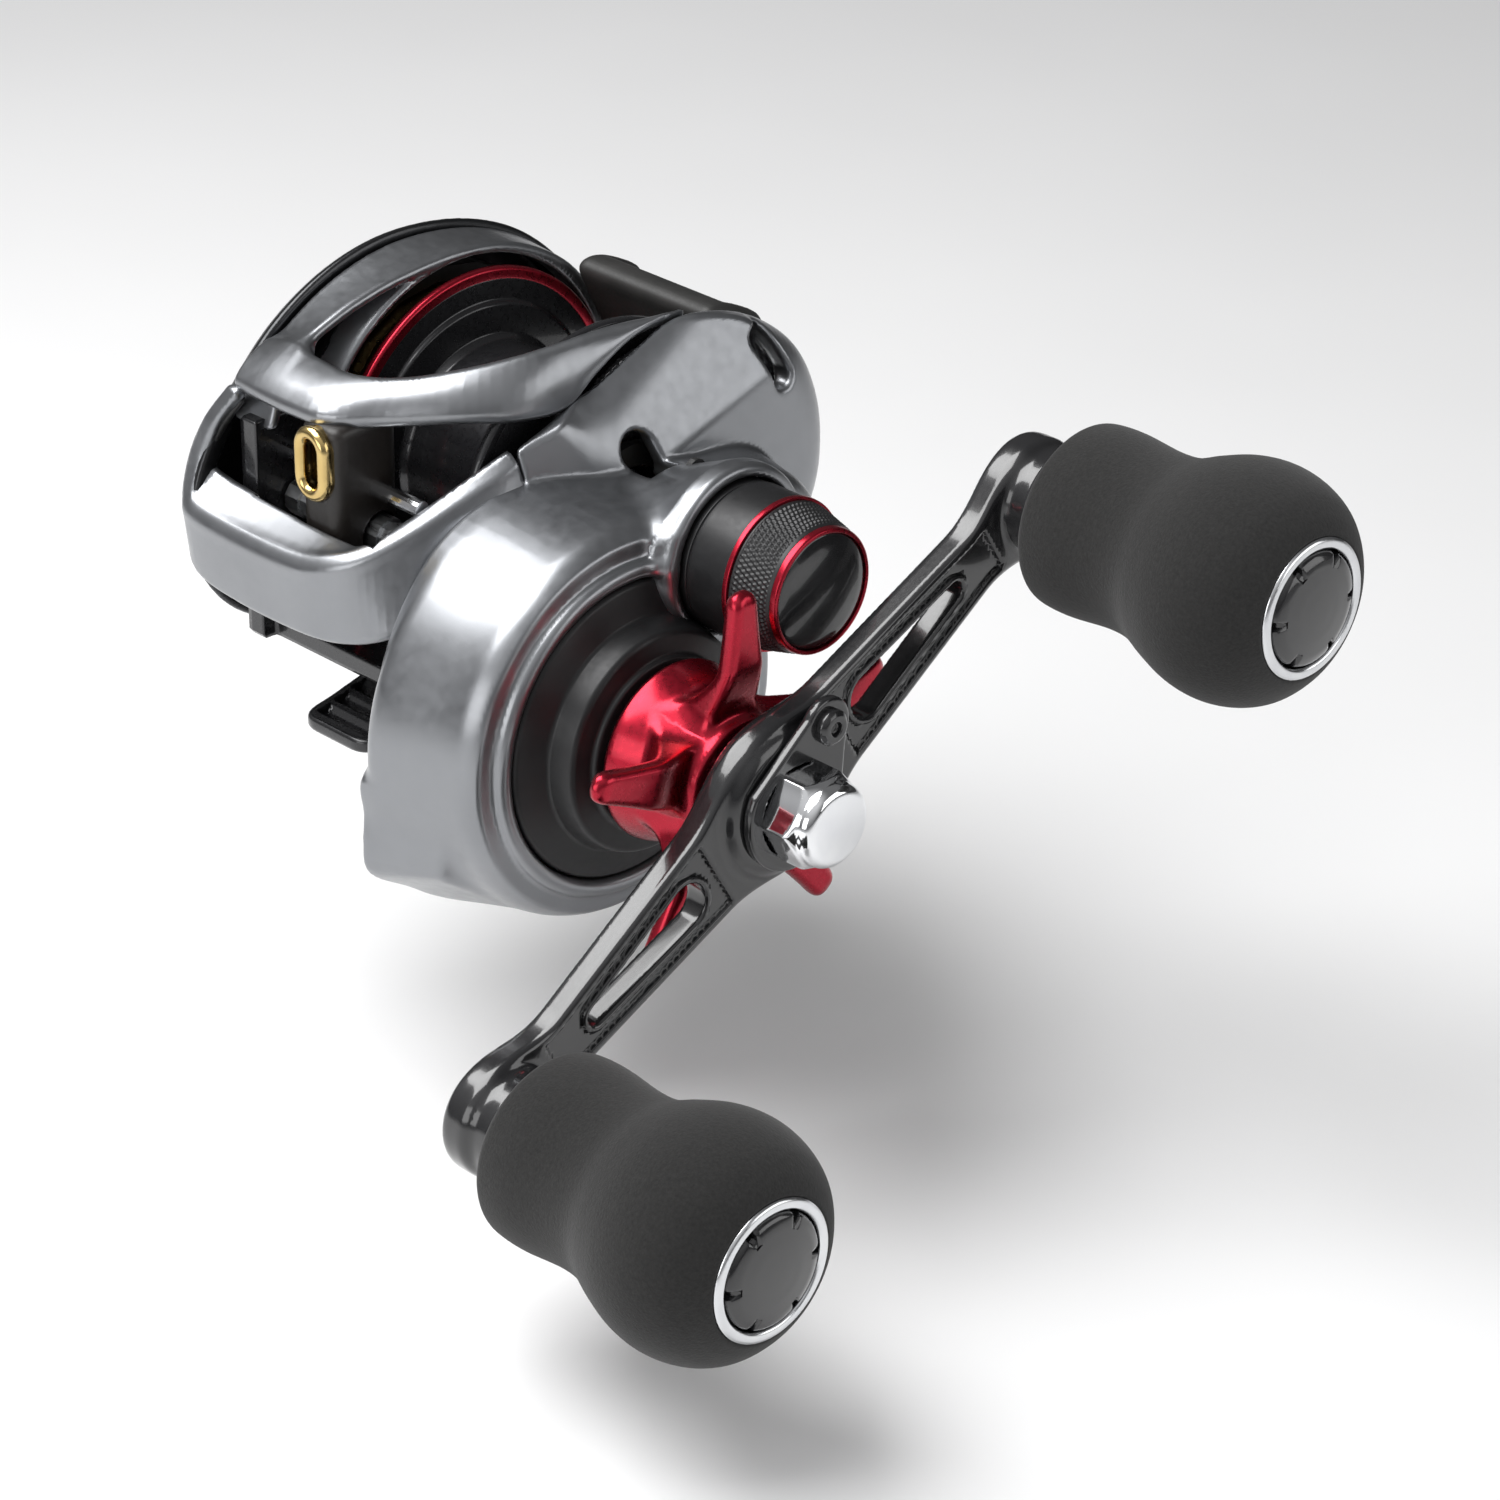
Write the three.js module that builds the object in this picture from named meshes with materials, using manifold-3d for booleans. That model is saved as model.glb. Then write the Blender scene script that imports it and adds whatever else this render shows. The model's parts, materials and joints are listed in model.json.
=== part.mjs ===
// Low-profile baitcasting reel, left-hand retrieve, as an assembly of separate pieces.
// Millimetres. X runs along the spool shaft towards the handle, -Y is the line exit at the front,
// Z is up. The origin is the middle of the flat underside of the reel foot.
import * as THREE from "three";
import Module from "manifold-3d";
import { mergeVertices } from "three/addons/utils/BufferGeometryUtils.js";

const wasm = await Module();
wasm.setup();

// ---------- Driving dimensions ----------

const GAP = 0.3;

// Main axes, as [y, z]. The drive shaft lies below and in front of the spool shaft.
const MAIN_MODULE = 0.7;
const DRIVE_TEETH = 61;
const PINION_TEETH = 10;
const CENTRE_DISTANCE = (MAIN_MODULE * (DRIVE_TEETH + PINION_TEETH)) / 2;
const DRIVE_DIRECTION = THREE.MathUtils.degToRad(229.6);
const SPOOL_AXIS = [0, 27];
const DRIVE_AXIS = [
  SPOOL_AXIS[0] + CENTRE_DISTANCE * Math.cos(DRIVE_DIRECTION),
  SPOOL_AXIS[1] + CENTRE_DISTANCE * Math.sin(DRIVE_DIRECTION),
];
const WORM_AXIS = [-27.2, 26.8];
const ROD_AXIS = [-28, 33.1];

// Level-wind gear train from the drive shaft to the worm shaft.
const WIND_MODULE = 0.6;
const SHAFT_GEAR_TEETH = 24;
const IDLER_TEETH = 19;
const WORM_GEAR_TEETH = 12;
const WIND_GEAR_X = [16.4, 18.0];

// Spool
const FLANGE_RADIUS = 23;
const FLANGE_INNER_X = 11;
const FLANGE_OUTER_X = 12.3;
const ARBOR_RADIUS = 14;

// Frame and foot
const RING_INNER_RADIUS = 23.8;
const RING_OUTER_RADIUS = 26.4;
const LEFT_RING_X = [-17.6, -13.0];
const RIGHT_WALL_X = [13.0, 14.2];
const SET_PLATE_X = [14.6, 15.8];
const FOOT_THICKNESS = 3.4;
const FOOT_FRONT_Y = -35;
const FOOT_BACK_Y = 33;

// Covers
const PALM_PLATE_X = [-24.6, -18.0];
const PALM_PLATE_RADIUS = 28;
const COVER_START_X = 14.6;
const COVER_WALL = 1.6;
const DRUM_BACK_RADIUS = 28.5;
const DRUM_FACE_RADIUS = 25.2;
const DRUM_FACE_X = 34.7;
const DISC_RADIUS = 19.6;
const CAP_BOSS_RADIUS = 11.4;

// Handle, star and knobs
const HANDLE_THROW = 51;
const HANDLE_ANGLE = 30.4;
const HANDLE_BACK_X = 56.4;
const HANDLE_FRONT_X = 60.4;
const NUT_FACE_X = 70.7;
const STAR_REACH = 25.6;
const STAR_ARMS = 5;
const STAR_FIRST_ANGLE = 90;
const KNOB_START_X = 66.9;
const KNOB_RING_X = 103.9;
const BULB_RADIUS = 15.3;

// ---------- Materials ----------

const material = (color, roughness, metalness) =>
  new THREE.MeshStandardMaterial({ color, roughness, metalness });
const silverPaint = material(0xb4b8be, 0.35, 0.8);
const blackMetal = material(0x1b1b1d, 0.3, 0.7);
const redMetal = material(0x9c1424, 0.3, 0.9);
const chrome = material(0xe4e6ea, 0.08, 1);
const steel = material(0xa8abaf, 0.35, 1);
const brass = material(0xb58a3c, 0.35, 1);
const goldRing = material(0xb7924a, 0.3, 0.9);
const blackPlastic = material(0x222224, 0.45, 0);
const greyPlastic = material(0x3c3c3a, 0.55, 0);
const foam = material(0x262524, 0.95, 0);
const carbon = material(0x2e2e30, 0.7, 0);

const reel = new THREE.Group();

// ---------- Solid helpers ----------

// A closed geometry as a manifold solid with its faces pointing out.
function toSolid(geometry) {
  const bare = geometry.index ? geometry.toNonIndexed() : geometry.clone();
  bare.deleteAttribute("normal");
  bare.deleteAttribute("uv");
  const merged = mergeVertices(bare, 1e-4);
  const position = merged.attributes.position.array;
  const index = merged.index.array;
  const kept = [];
  let volume = 0;
  for (let i = 0; i < index.length; i += 3) {
    const [a, b, c] = [index[i], index[i + 1], index[i + 2]];
    if (a === b || b === c || a === c) {
      continue;
    }
    kept.push(a, b, c);
    const [p, q, r] = [a, b, c].map((v) => new THREE.Vector3().fromArray(position, 3 * v));
    volume += p.dot(q.cross(r));
  }
  if (volume < 0) {
    kept.reverse();
  }
  const vertProperties = new Float32Array(position);
  const triVerts = new Uint32Array(kept);
  return new wasm.Manifold(new wasm.Mesh({ numProp: 3, vertProperties, triVerts }));
}

// Adds one named piece to the reel.
function piece(name, solid, look) {
  const raw = solid.getMesh();
  const geometry = new THREE.BufferGeometry();
  const position = new THREE.BufferAttribute(new Float32Array(raw.vertProperties), 3);
  geometry.setAttribute("position", position);
  geometry.setIndex(new THREE.BufferAttribute(new Uint32Array(raw.triVerts), 1));
  geometry.computeVertexNormals();
  const mesh = new THREE.Mesh(geometry, look);
  mesh.name = name;
  reel.add(mesh);
}

function join(...solids) {
  return solids.reduce((whole, next) => whole.add(next));
}

function cut(solid, ...tools) {
  return tools.reduce((whole, tool) => whole.subtract(tool), solid);
}

// A solid turned about the X direction at the axis [y, z], from a profile of [x, radius].
function turned(profile, axis = SPOOL_AXIS, segments = 18) {
  const points = profile.map(([x, radius]) => new THREE.Vector2(radius, x));
  const geometry = new THREE.LatheGeometry(points, segments);
  geometry.rotateZ(-Math.PI / 2);
  geometry.translate(0, axis[0], axis[1]);
  return toSolid(geometry);
}

function rod(radius, x0, x1, axis = SPOOL_AXIS, segments = 14) {
  return turned([[x0, 0], [x0, radius], [x1, radius], [x1, 0]], axis, segments);
}

function tube(inner, outer, x0, x1, axis = SPOOL_AXIS, segments = 18) {
  const profile = [[x0, inner], [x0, outer], [x1, outer], [x1, inner], [x0, inner]];
  return turned(profile, axis, segments);
}

// A side outline drawn in (y, z), extruded along X.
function slab(shape, x0, x1, curveSegments = 12) {
  const geometry = new THREE.ExtrudeGeometry(shape, {
    depth: x1 - x0,
    bevelEnabled: false,
    curveSegments,
  });
  const axes = new THREE.Matrix4().makeBasis(
    new THREE.Vector3(0, 1, 0),
    new THREE.Vector3(0, 0, 1),
    new THREE.Vector3(1, 0, 0),
  );
  geometry.applyMatrix4(axes);
  geometry.translate(x0, 0, 0);
  return toSolid(geometry);
}

// A plan outline drawn in (x, y), extruded along Z.
function plate(shape, z0, z1, curveSegments = 8) {
  const geometry = new THREE.ExtrudeGeometry(shape, {
    depth: z1 - z0,
    bevelEnabled: false,
    curveSegments,
  });
  geometry.translate(0, 0, z0);
  return toSolid(geometry);
}

function box([x0, x1], [y0, y1], [z0, z1]) {
  const geometry = new THREE.BoxGeometry(x1 - x0, y1 - y0, z1 - z0);
  geometry.translate((x0 + x1) / 2, (y0 + y1) / 2, (z0 + z1) / 2);
  return toSolid(geometry);
}

function polygon(points) {
  return new THREE.Shape(points.map(([u, v]) => new THREE.Vector2(u, v)));
}

// The outline of a belt pulled tight around circles given as [centre u, centre v, radius].
function belt(circles, steps = 20) {
  const points = [];
  for (const [u, v, radius] of circles) {
    for (let i = 0; i < steps; i += 1) {
      const angle = (2 * Math.PI * i) / steps;
      points.push([u + radius * Math.cos(angle), v + radius * Math.sin(angle)]);
    }
  }
  points.sort((p, q) => p[0] - q[0] || p[1] - q[1]);
  const turn = (o, a, b) => (a[0] - o[0]) * (b[1] - o[1]) - (a[1] - o[1]) * (b[0] - o[0]);
  const chain = (list) => {
    const kept = [];
    for (const point of list) {
      while (kept.length > 1 && turn(kept.at(-2), kept.at(-1), point) <= 1e-6) {
        kept.pop();
      }
      kept.push(point);
    }
    kept.pop();
    return kept;
  };
  return polygon([...chain(points), ...chain(points.reverse())]);
}

// A band of a ring around the spool shaft between two angles, in degrees from +Y.
function band(inner, outer, from, to, x0, x1) {
  const [start, end] = [from, to].map(THREE.MathUtils.degToRad);
  const shape = new THREE.Shape();
  shape.absarc(SPOOL_AXIS[0], SPOOL_AXIS[1], outer, start, end, false);
  shape.absarc(SPOOL_AXIS[0], SPOOL_AXIS[1], inner, end, start, true);
  shape.closePath();
  return slab(shape, x0, x1, 12);
}

function offset([y, z], radius, degrees) {
  const angle = THREE.MathUtils.degToRad(degrees);
  return [y + radius * Math.cos(angle), z + radius * Math.sin(angle)];
}

// A hexagon outline with the given size across its flats.
function hexagon([y, z], acrossFlats) {
  const radius = acrossFlats / Math.sqrt(3);
  const corners = [0, 60, 120, 180, 240, 300].map((angle) => offset([y, z], radius, angle));
  return polygon(corners);
}

// ---------- Gears ----------

// A spur gear outline. Each tooth is narrower than half the pitch, so meshed pairs keep backlash.
function gearShape([y, z], teeth, module, phase) {
  const pitch = (2 * Math.PI) / teeth;
  const rootRadius = module * (teeth / 2 - 1.25);
  const tipRadius = module * (teeth / 2 + 0.9);
  const flank = [[-0.25, rootRadius], [-0.12, tipRadius]];
  const tooth = [...flank, ...flank.map(([turn, radius]) => [-turn, radius]).reverse()];
  const points = [];
  for (let i = 0; i < teeth; i += 1) {
    for (const [turn, radius] of tooth) {
      const angle = phase + pitch * (i + turn);
      points.push([y + radius * Math.cos(angle), z + radius * Math.sin(angle)]);
    }
  }
  return polygon(points);
}

const angleFrom = (a, b) => Math.atan2(b[1] - a[1], b[0] - a[0]);

// The phase that puts a gap of the driven gear where the driving gear has a tooth.
function meshPhase(fromAxis, fromTeeth, fromPhase, toAxis, toTeeth) {
  const line = angleFrom(fromAxis, toAxis);
  const turnsFrom = ((line - fromPhase) * fromTeeth) / (2 * Math.PI);
  const turnsTo = 0.5 - turnsFrom;
  return line + Math.PI - (turnsTo * 2 * Math.PI) / toTeeth;
}

// The idler's axis, on the front side of the line from the drive shaft to the worm shaft.
const shaftToIdler = (WIND_MODULE * (SHAFT_GEAR_TEETH + IDLER_TEETH)) / 2;
const idlerToWorm = (WIND_MODULE * (IDLER_TEETH + WORM_GEAR_TEETH)) / 2;
const shaftToWorm = Math.hypot(WORM_AXIS[0] - DRIVE_AXIS[0], WORM_AXIS[1] - DRIVE_AXIS[1]);
const idlerTurn = Math.acos(
  (shaftToIdler ** 2 + shaftToWorm ** 2 - idlerToWorm ** 2) / (2 * shaftToIdler * shaftToWorm),
);
const idlerLine = angleFrom(DRIVE_AXIS, WORM_AXIS) + idlerTurn;
const IDLER_AXIS = [
  DRIVE_AXIS[0] + shaftToIdler * Math.cos(idlerLine),
  DRIVE_AXIS[1] + shaftToIdler * Math.sin(idlerLine),
];

// ---------- Frame and foot ----------

function footOutline() {
  const half = 8.2;
  const tip = 6.4;
  const shape = new THREE.Shape();
  shape.moveTo(-tip + 2, FOOT_FRONT_Y);
  shape.lineTo(tip - 2, FOOT_FRONT_Y);
  shape.quadraticCurveTo(tip, FOOT_FRONT_Y, tip, FOOT_FRONT_Y + 2);
  shape.lineTo(half, -14);
  shape.lineTo(half, 14);
  shape.lineTo(tip, FOOT_BACK_Y - 2);
  shape.quadraticCurveTo(tip, FOOT_BACK_Y, tip - 2, FOOT_BACK_Y);
  shape.lineTo(-tip + 2, FOOT_BACK_Y);
  shape.quadraticCurveTo(-tip, FOOT_BACK_Y, -tip, FOOT_BACK_Y - 2);
  shape.lineTo(-half, 14);
  shape.lineTo(-half, -14);
  shape.lineTo(-tip, FOOT_FRONT_Y + 2);
  shape.quadraticCurveTo(-tip, FOOT_FRONT_Y, -tip + 2, FOOT_FRONT_Y);
  return shape;
}

const BRACKET_X = [8.8, 10.4];
const CROSS_Z = [8.6, 11];

function frameSolid() {
  const [leftX] = LEFT_RING_X;
  const [wallX0, wallX1] = RIGHT_WALL_X;
  const ring = tube(RING_INNER_RADIUS, RING_OUTER_RADIUS, ...LEFT_RING_X, SPOOL_AXIS, 28);
  const cradle = band(RING_INNER_RADIUS, RING_OUTER_RADIUS, -142, -4, leftX, wallX1);
  const wallOutline = belt([[...SPOOL_AXIS, 23.9], [...DRIVE_AXIS, 23.5]]);
  const wall = slab(wallOutline, wallX0, wallX1).intersect(box([0, 20], [-24.4, 40], [-30, 60]));
  const lowerWall = cut(
    slab(belt([[...DRIVE_AXIS, 24.2]]), wallX0, wallX1),
    box([12, 16], [-50, -24.4], [13.1, 60]),
  );
  const foot = plate(footOutline(), 0, FOOT_THICKNESS);
  const cross = box([leftX, wallX1], [-31.4, -17], CROSS_Z);
  const leftPost = box([leftX, -14.6], [-33.4, -23.4], [CROSS_Z[0], 38.4]);
  const web = box([BRACKET_X[0], 13.6], [-25.8, -24.2], [CROSS_Z[0], 36]);
  const bracket = box(BRACKET_X, [-33.4, -24.2], [CROSS_Z[0], 38.4]);
  const whole = join(ring, cradle, wall, lowerWall, foot, cross, leftPost, web, bracket);
  return cut(
    whole,
    rod(5.2, wallX0 - 0.6, wallX1 + 1),
    rod(4.6, wallX0 - 1, wallX1 + 1, DRIVE_AXIS),
    rod(2.3, leftX + 0.8, -14.5, WORM_AXIS, 16),
    rod(2.8, -14.5, wallX1 + 0.5, WORM_AXIS, 16),
    rod(1.4, leftX + 0.8, wallX0, ROD_AXIS, 12),
    box([-11, 11], [-40, -24.6], [12, 50]).subtract(box([8.4, 12], [-40, -20], [0, 60])),
  );
}

piece("frame", frameSolid(), silverPaint);

// Front hood: a lower bar, a left cheek and a top bar round the line window.
function hoodSolid() {
  const lowerBar = polygon([
    [-24, -31], [-24, -36.6], [-23, -39], [-20.6, -40], [5.6, -40], [8.8, -39.2], [10.6, -37.4],
    [17.8, -19.7], [16.5, -19.7], [9.4, -36], [7.6, -37.8], [-19.8, -37.8], [-21.6, -35.8],
    [-21.6, -31],
  ]);
  const topBar = polygon([
    [-24, -31], [-23.6, -33.6], [-20, -36.4], [1, -36.8], [4, -35.4], [15.6, -19.7],
    [10.4, -19.7], [6, -24.4], [-3, -28.2], [-14, -27.4], [-17.4, -27.2], [-18, -31],
  ]);
  const lower = plate(lowerBar, 13.4, 27.5);
  const cheek = box([-24, -21.6], [-37.4, -31], [13.4, 48]);
  const rightCheek = plate(
    polygon([[12.6, -32.4], [17.8, -19.7], [16.5, -19.7], [11.4, -31.4]]),
    13.4,
    44,
  );
  const top = plate(topBar, 43.6, 47.6);
  return cut(
    join(lower, cheek, rightCheek, top),
    rod(3, 8, 20, WORM_AXIS, 16),
    box([14.3, 25], [-45, 0], [0, 33]),
  );
}

piece("front_hood", hoodSolid(), silverPaint);

// ---------- Palm side ----------

function palmPlateSolid() {
  const front = [-13, 25];
  const [x0, x1] = PALM_PLATE_X;
  const outline = (inset) =>
    belt([[...SPOOL_AXIS, PALM_PLATE_RADIUS - inset], [...front, 17.4 - inset]]);
  const shell = join(slab(outline(0), x0 + 1.4, x1), slab(outline(2.4), x0, x0 + 1.6));
  return cut(shell, slab(outline(3.4), x0 + 1.6, x1 + 1));
}

piece("palm_side_plate", palmPlateSolid(), silverPaint);
const BRAKE_X = [-22.6, -18.4];
const caseProfile = [
  [BRAKE_X[0], 2.6], [BRAKE_X[0], 21.5], [BRAKE_X[1], 21.5], [BRAKE_X[1], 19.5],
  [BRAKE_X[0] + 1.2, 19.5], [BRAKE_X[0] + 1.2, 6.6], [BRAKE_X[1], 6.6], [BRAKE_X[1], 5.4],
  [BRAKE_X[0] + 1.2, 5.4], [BRAKE_X[0] + 1.2, 2.6], [BRAKE_X[0], 2.6],
];
piece("brake_case", turned(caseProfile, SPOOL_AXIS, 20), blackPlastic);
piece("brake_race", tube(18.2, 19.2, -20.8, -16.6), brass);

// ---------- Spool group ----------

// Thin flanges, a hollow arbor and a hub that carries the shaft.
const spoolProfile = [
  [-FLANGE_OUTER_X, FLANGE_RADIUS], [-FLANGE_INNER_X, FLANGE_RADIUS],
  [-FLANGE_INNER_X + 0.4, ARBOR_RADIUS + 2], [-FLANGE_INNER_X + 2.4, ARBOR_RADIUS],
  [FLANGE_INNER_X - 2.4, ARBOR_RADIUS], [FLANGE_INNER_X - 0.4, ARBOR_RADIUS + 2],
  [FLANGE_INNER_X, FLANGE_RADIUS], [FLANGE_OUTER_X, FLANGE_RADIUS],
  [FLANGE_OUTER_X - 1, ARBOR_RADIUS - 1.2], [1.2, ARBOR_RADIUS - 1.2], [1.2, 4], [6, 4],
  [6, 1.9], [-6, 1.9], [-6, 4], [-1.2, 4], [-1.2, ARBOR_RADIUS - 1.2],
  [-FLANGE_OUTER_X + 1, ARBOR_RADIUS - 1.2], [-FLANGE_OUTER_X, FLANGE_RADIUS],
];
piece("spool", turned(spoolProfile, SPOOL_AXIS, 24), blackMetal);

const shaftProfile = [
  [-20.6, 0], [-20.6, 1.3], [-10, 1.3], [-10, 1.6], [15.6, 1.6], [15.6, 1.2], [41.6, 1.2],
  [41.6, 0],
];
piece("spool_shaft", turned(shaftProfile, SPOOL_AXIS, 12), steel);
piece("spool_bearing_palm", tube(1.6, 5.1, -21, -18.6, SPOOL_AXIS, 18), steel);
piece("spool_bearing_handle", tube(1.9, 4.8, 12.5, 14.4, SPOOL_AXIS, 18), steel);

// The brake rotor sits on the spool shaft beside the palm-side flange, inside the brake race.
const rotorArms = [0, 60, 120, 180, 240, 300].map((degrees) => {
  const [y, z] = offset(SPOOL_AXIS, 13.8, degrees);
  return rod(1.9, -18.2, -16.8, [y, z], 6);
});
piece("brake_rotor", join(tube(1.7, 14.4, -17.6, -16.8), ...rotorArms), blackPlastic);

const drivePhase = angleFrom(DRIVE_AXIS, SPOOL_AXIS);
const pinionPhase = meshPhase(DRIVE_AXIS, DRIVE_TEETH, drivePhase, SPOOL_AXIS, PINION_TEETH);
const PINION_X = [19.6, 26.6];
const pinionTail = turned([
  [26.4, 1.6], [26.4, 2.4], [27.9, 2.4], [27.9, 4.2], [28.8, 4.2], [28.8, 2.4], [35, 2.4],
  [35, 1.6], [26.4, 1.6],
], SPOOL_AXIS, 16);
const pinionTeeth = cut(
  slab(gearShape(SPOOL_AXIS, PINION_TEETH, MAIN_MODULE, pinionPhase), ...PINION_X),
  rod(1.6, 10, 40, SPOOL_AXIS, 16),
);
piece("pinion_gear", join(pinionTeeth, pinionTail), brass);
piece("pinion_bearing", tube(2.8, 5, 33.4, 35.4, SPOOL_AXIS, 18), steel);

// ---------- Gear case ----------

const COVER_SCREWS = [
  [25.6, 29.6],
  [10.2, 44.2],
  offset(DRIVE_AXIS, 24.4, 292),
];

function coverOutline(inset) {
  return belt([
    [...SPOOL_AXIS, 21.6 - inset], [6, 24, 25.4 - inset], [...DRIVE_AXIS, 22 - inset],
  ]);
}

// The lower outline holds the drum and runs back round the cast control boss.
function shoulderOutline(inset) {
  return belt([
    [...DRIVE_AXIS, 26.6 - inset], [11, 20, 14 - inset], [-16, 13, 22 - inset],
  ]);
}

function gearCoverSolid() {
  const upperFaceX = 22.4;
  const shoulderX = 27;
  const drum = turned([
    [COVER_START_X + 1.6, 0], [COVER_START_X + 1.6, DRUM_BACK_RADIUS], [22, DRUM_BACK_RADIUS - 0.4],
    [DRUM_FACE_X - 1, DRUM_FACE_RADIUS], [DRUM_FACE_X, DRUM_FACE_RADIUS - 0.8], [DRUM_FACE_X, 0],
  ], DRIVE_AXIS, 30);
  const hollow = turned([
    [COVER_START_X - 1, 0], [COVER_START_X - 1, 26.9], [22, 26.5], [DRUM_FACE_X - 2, 23.4],
    [DRUM_FACE_X - 2, 0],
  ], DRIVE_AXIS, 30);
  const upper = slab(coverOutline(0), COVER_START_X, upperFaceX - 1);
  const upperFace = slab(coverOutline(2), upperFaceX - 1.2, upperFaceX);
  const shoulder = slab(shoulderOutline(0), COVER_START_X + 4, shoulderX);
  const boss = turned([
    [20, 0], [20, 14], [28, 12.6], [34, CAP_BOSS_RADIUS], [36.6, CAP_BOSS_RADIUS - 0.6],
    [36.6, 0],
  ], SPOOL_AXIS, 22);
  const screwBores = COVER_SCREWS.map((axis) => rod(1.7, 10, 40, axis, 10));
  return cut(
    join(drum, upper, upperFace, shoulder, boss),
    hollow,
    slab(coverOutline(COVER_WALL), COVER_START_X - 1, upperFaceX - COVER_WALL),
    slab(shoulderOutline(COVER_WALL), COVER_START_X - 1, shoulderX - COVER_WALL),
    rod(9.8, 18, 32.2, SPOOL_AXIS, 24),
    rod(5.3, 30, 35.8, SPOOL_AXIS, 16),
    rod(2.6, 30, 40, SPOOL_AXIS, 16),
    rod(DISC_RADIUS + GAP, DRUM_FACE_X - 2.6, 40, DRIVE_AXIS, 28),
    ...screwBores,
    slab(belt([[2.6, 35.4, 2.3], [1.4, 32.2, 1.9]], 16), 18, 30),
    slab(belt([[21.4, 44.4, 1.3], [22.6, 40.6, 1.3]], 12), 16, 30),
    box([10, 30], [-50, -19.4], [32.6, 60]),
  );
}

piece("gear_side_cover", gearCoverSolid(), silverPaint);

// The stepped black disc that closes the drum and carries the one-way bearing.
piece("gear_cover_disc", turned([
  [31.4, 7.3], [31.4, 18.2], [32.5, DISC_RADIUS], [34.9, DISC_RADIUS], [34.9, 17.2],
  [38, 14.2], [40.4, 12], [40.4, 9.6], [38.4, 9.4], [38.4, 7.3], [31.4, 7.3],
], DRIVE_AXIS, 24), blackMetal);

const setPlate = slab(
  belt([[...DRIVE_AXIS, 24], [...SPOOL_AXIS, 14.6], [...WORM_AXIS, 4.4]]),
  ...SET_PLATE_X,
);
piece("set_plate", cut(
  setPlate,
  rod(5.4, 14, 17),
  rod(4.6, 14, 17, DRIVE_AXIS),
  rod(2.8, 14, 17, WORM_AXIS, 16),
  rod(1.2, 14, 17, IDLER_AXIS, 12),
  box([14, 17], [-40, -18.8], [32.4, 60]),
), steel);

// ---------- Drive train on the drive shaft ----------

const shaftSteps = [
  [12.7, 0], [12.7, 2.4], [14, 2.4], [14, 4], [18.4, 4], [18.4, 5], [20.2, 5], [20.2, 3.4],
  [41.4, 3.4], [41.4, 3], [61.2, 3], [61.2, 2.2], [66, 2.2], [66, 0],
];
piece("drive_shaft", turned(shaftSteps, DRIVE_AXIS, 14), steel);

const shaftGearPhase = 0.1;
const idlerPhase = meshPhase(
  DRIVE_AXIS, SHAFT_GEAR_TEETH, shaftGearPhase, IDLER_AXIS, IDLER_TEETH,
);
const wormGearPhase = meshPhase(
  IDLER_AXIS, IDLER_TEETH, idlerPhase, WORM_AXIS, WORM_GEAR_TEETH,
);
const windGear = (axis, teeth, phase, bore) =>
  cut(slab(gearShape(axis, teeth, WIND_MODULE, phase), ...WIND_GEAR_X), rod(bore, 10, 30, axis));
piece("shaft_gear", windGear(DRIVE_AXIS, SHAFT_GEAR_TEETH, shaftGearPhase, 4.1), blackPlastic);
piece("idler_gear", windGear(IDLER_AXIS, IDLER_TEETH, idlerPhase, 1.2), blackPlastic);
piece("idler_pin", join(
  rod(0.9, 14.4, 19, IDLER_AXIS, 12),
  rod(2, 18.3, 19, IDLER_AXIS, 16),
), steel);
piece("worm_gear", windGear(WORM_AXIS, WORM_GEAR_TEETH, wormGearPhase, 1.9), brass);

function ratchetSolid() {
  const teeth = 8;
  const points = [];
  for (let i = 0; i < teeth; i += 1) {
    points.push(offset(DRIVE_AXIS, 9.4, (360 / teeth) * i));
    points.push(offset(DRIVE_AXIS, 7.4, (360 / teeth) * i + 6));
    points.push(offset(DRIVE_AXIS, 7.4, (360 / teeth) * (i + 0.6)));
  }
  return cut(slab(polygon(points), 18.7, 19.9), rod(5.1, 10, 30, DRIVE_AXIS, 20));
}
piece("anti_reverse_ratchet", ratchetSolid(), steel);

const DRIVE_GEAR_X = [20.5, 25.5];
const driveGear = cut(
  slab(gearShape(DRIVE_AXIS, DRIVE_TEETH, MAIN_MODULE, drivePhase), ...DRIVE_GEAR_X),
  rod(3.6, 10, 40, DRIVE_AXIS),
  tube(5.2, 17.7, 22.1, 30, DRIVE_AXIS, 20),
);
piece("drive_gear", driveGear, brass);
piece("drag_washer_carbon", tube(5.4, 17.2, 22.3, 23.3, DRIVE_AXIS, 20), carbon);
piece("drag_key_washer", tube(5.4, 17, 23.6, 24.7, DRIVE_AXIS, 20), steel);
piece("drag_pressure_plate", tube(3.6, 16, 25.8, 27, DRIVE_AXIS, 20), steel);
piece("roller_clutch", tube(5.2, 7, 31.4, 37.6, DRIVE_AXIS), steel);
piece("roller_sleeve", tube(3.6, 4.9, 31, 40.6, DRIVE_AXIS), steel);
piece("drag_spring_washers", tube(3.7, 6.6, 41, 42.6, DRIVE_AXIS), steel);

// ---------- Clutch ----------

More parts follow.
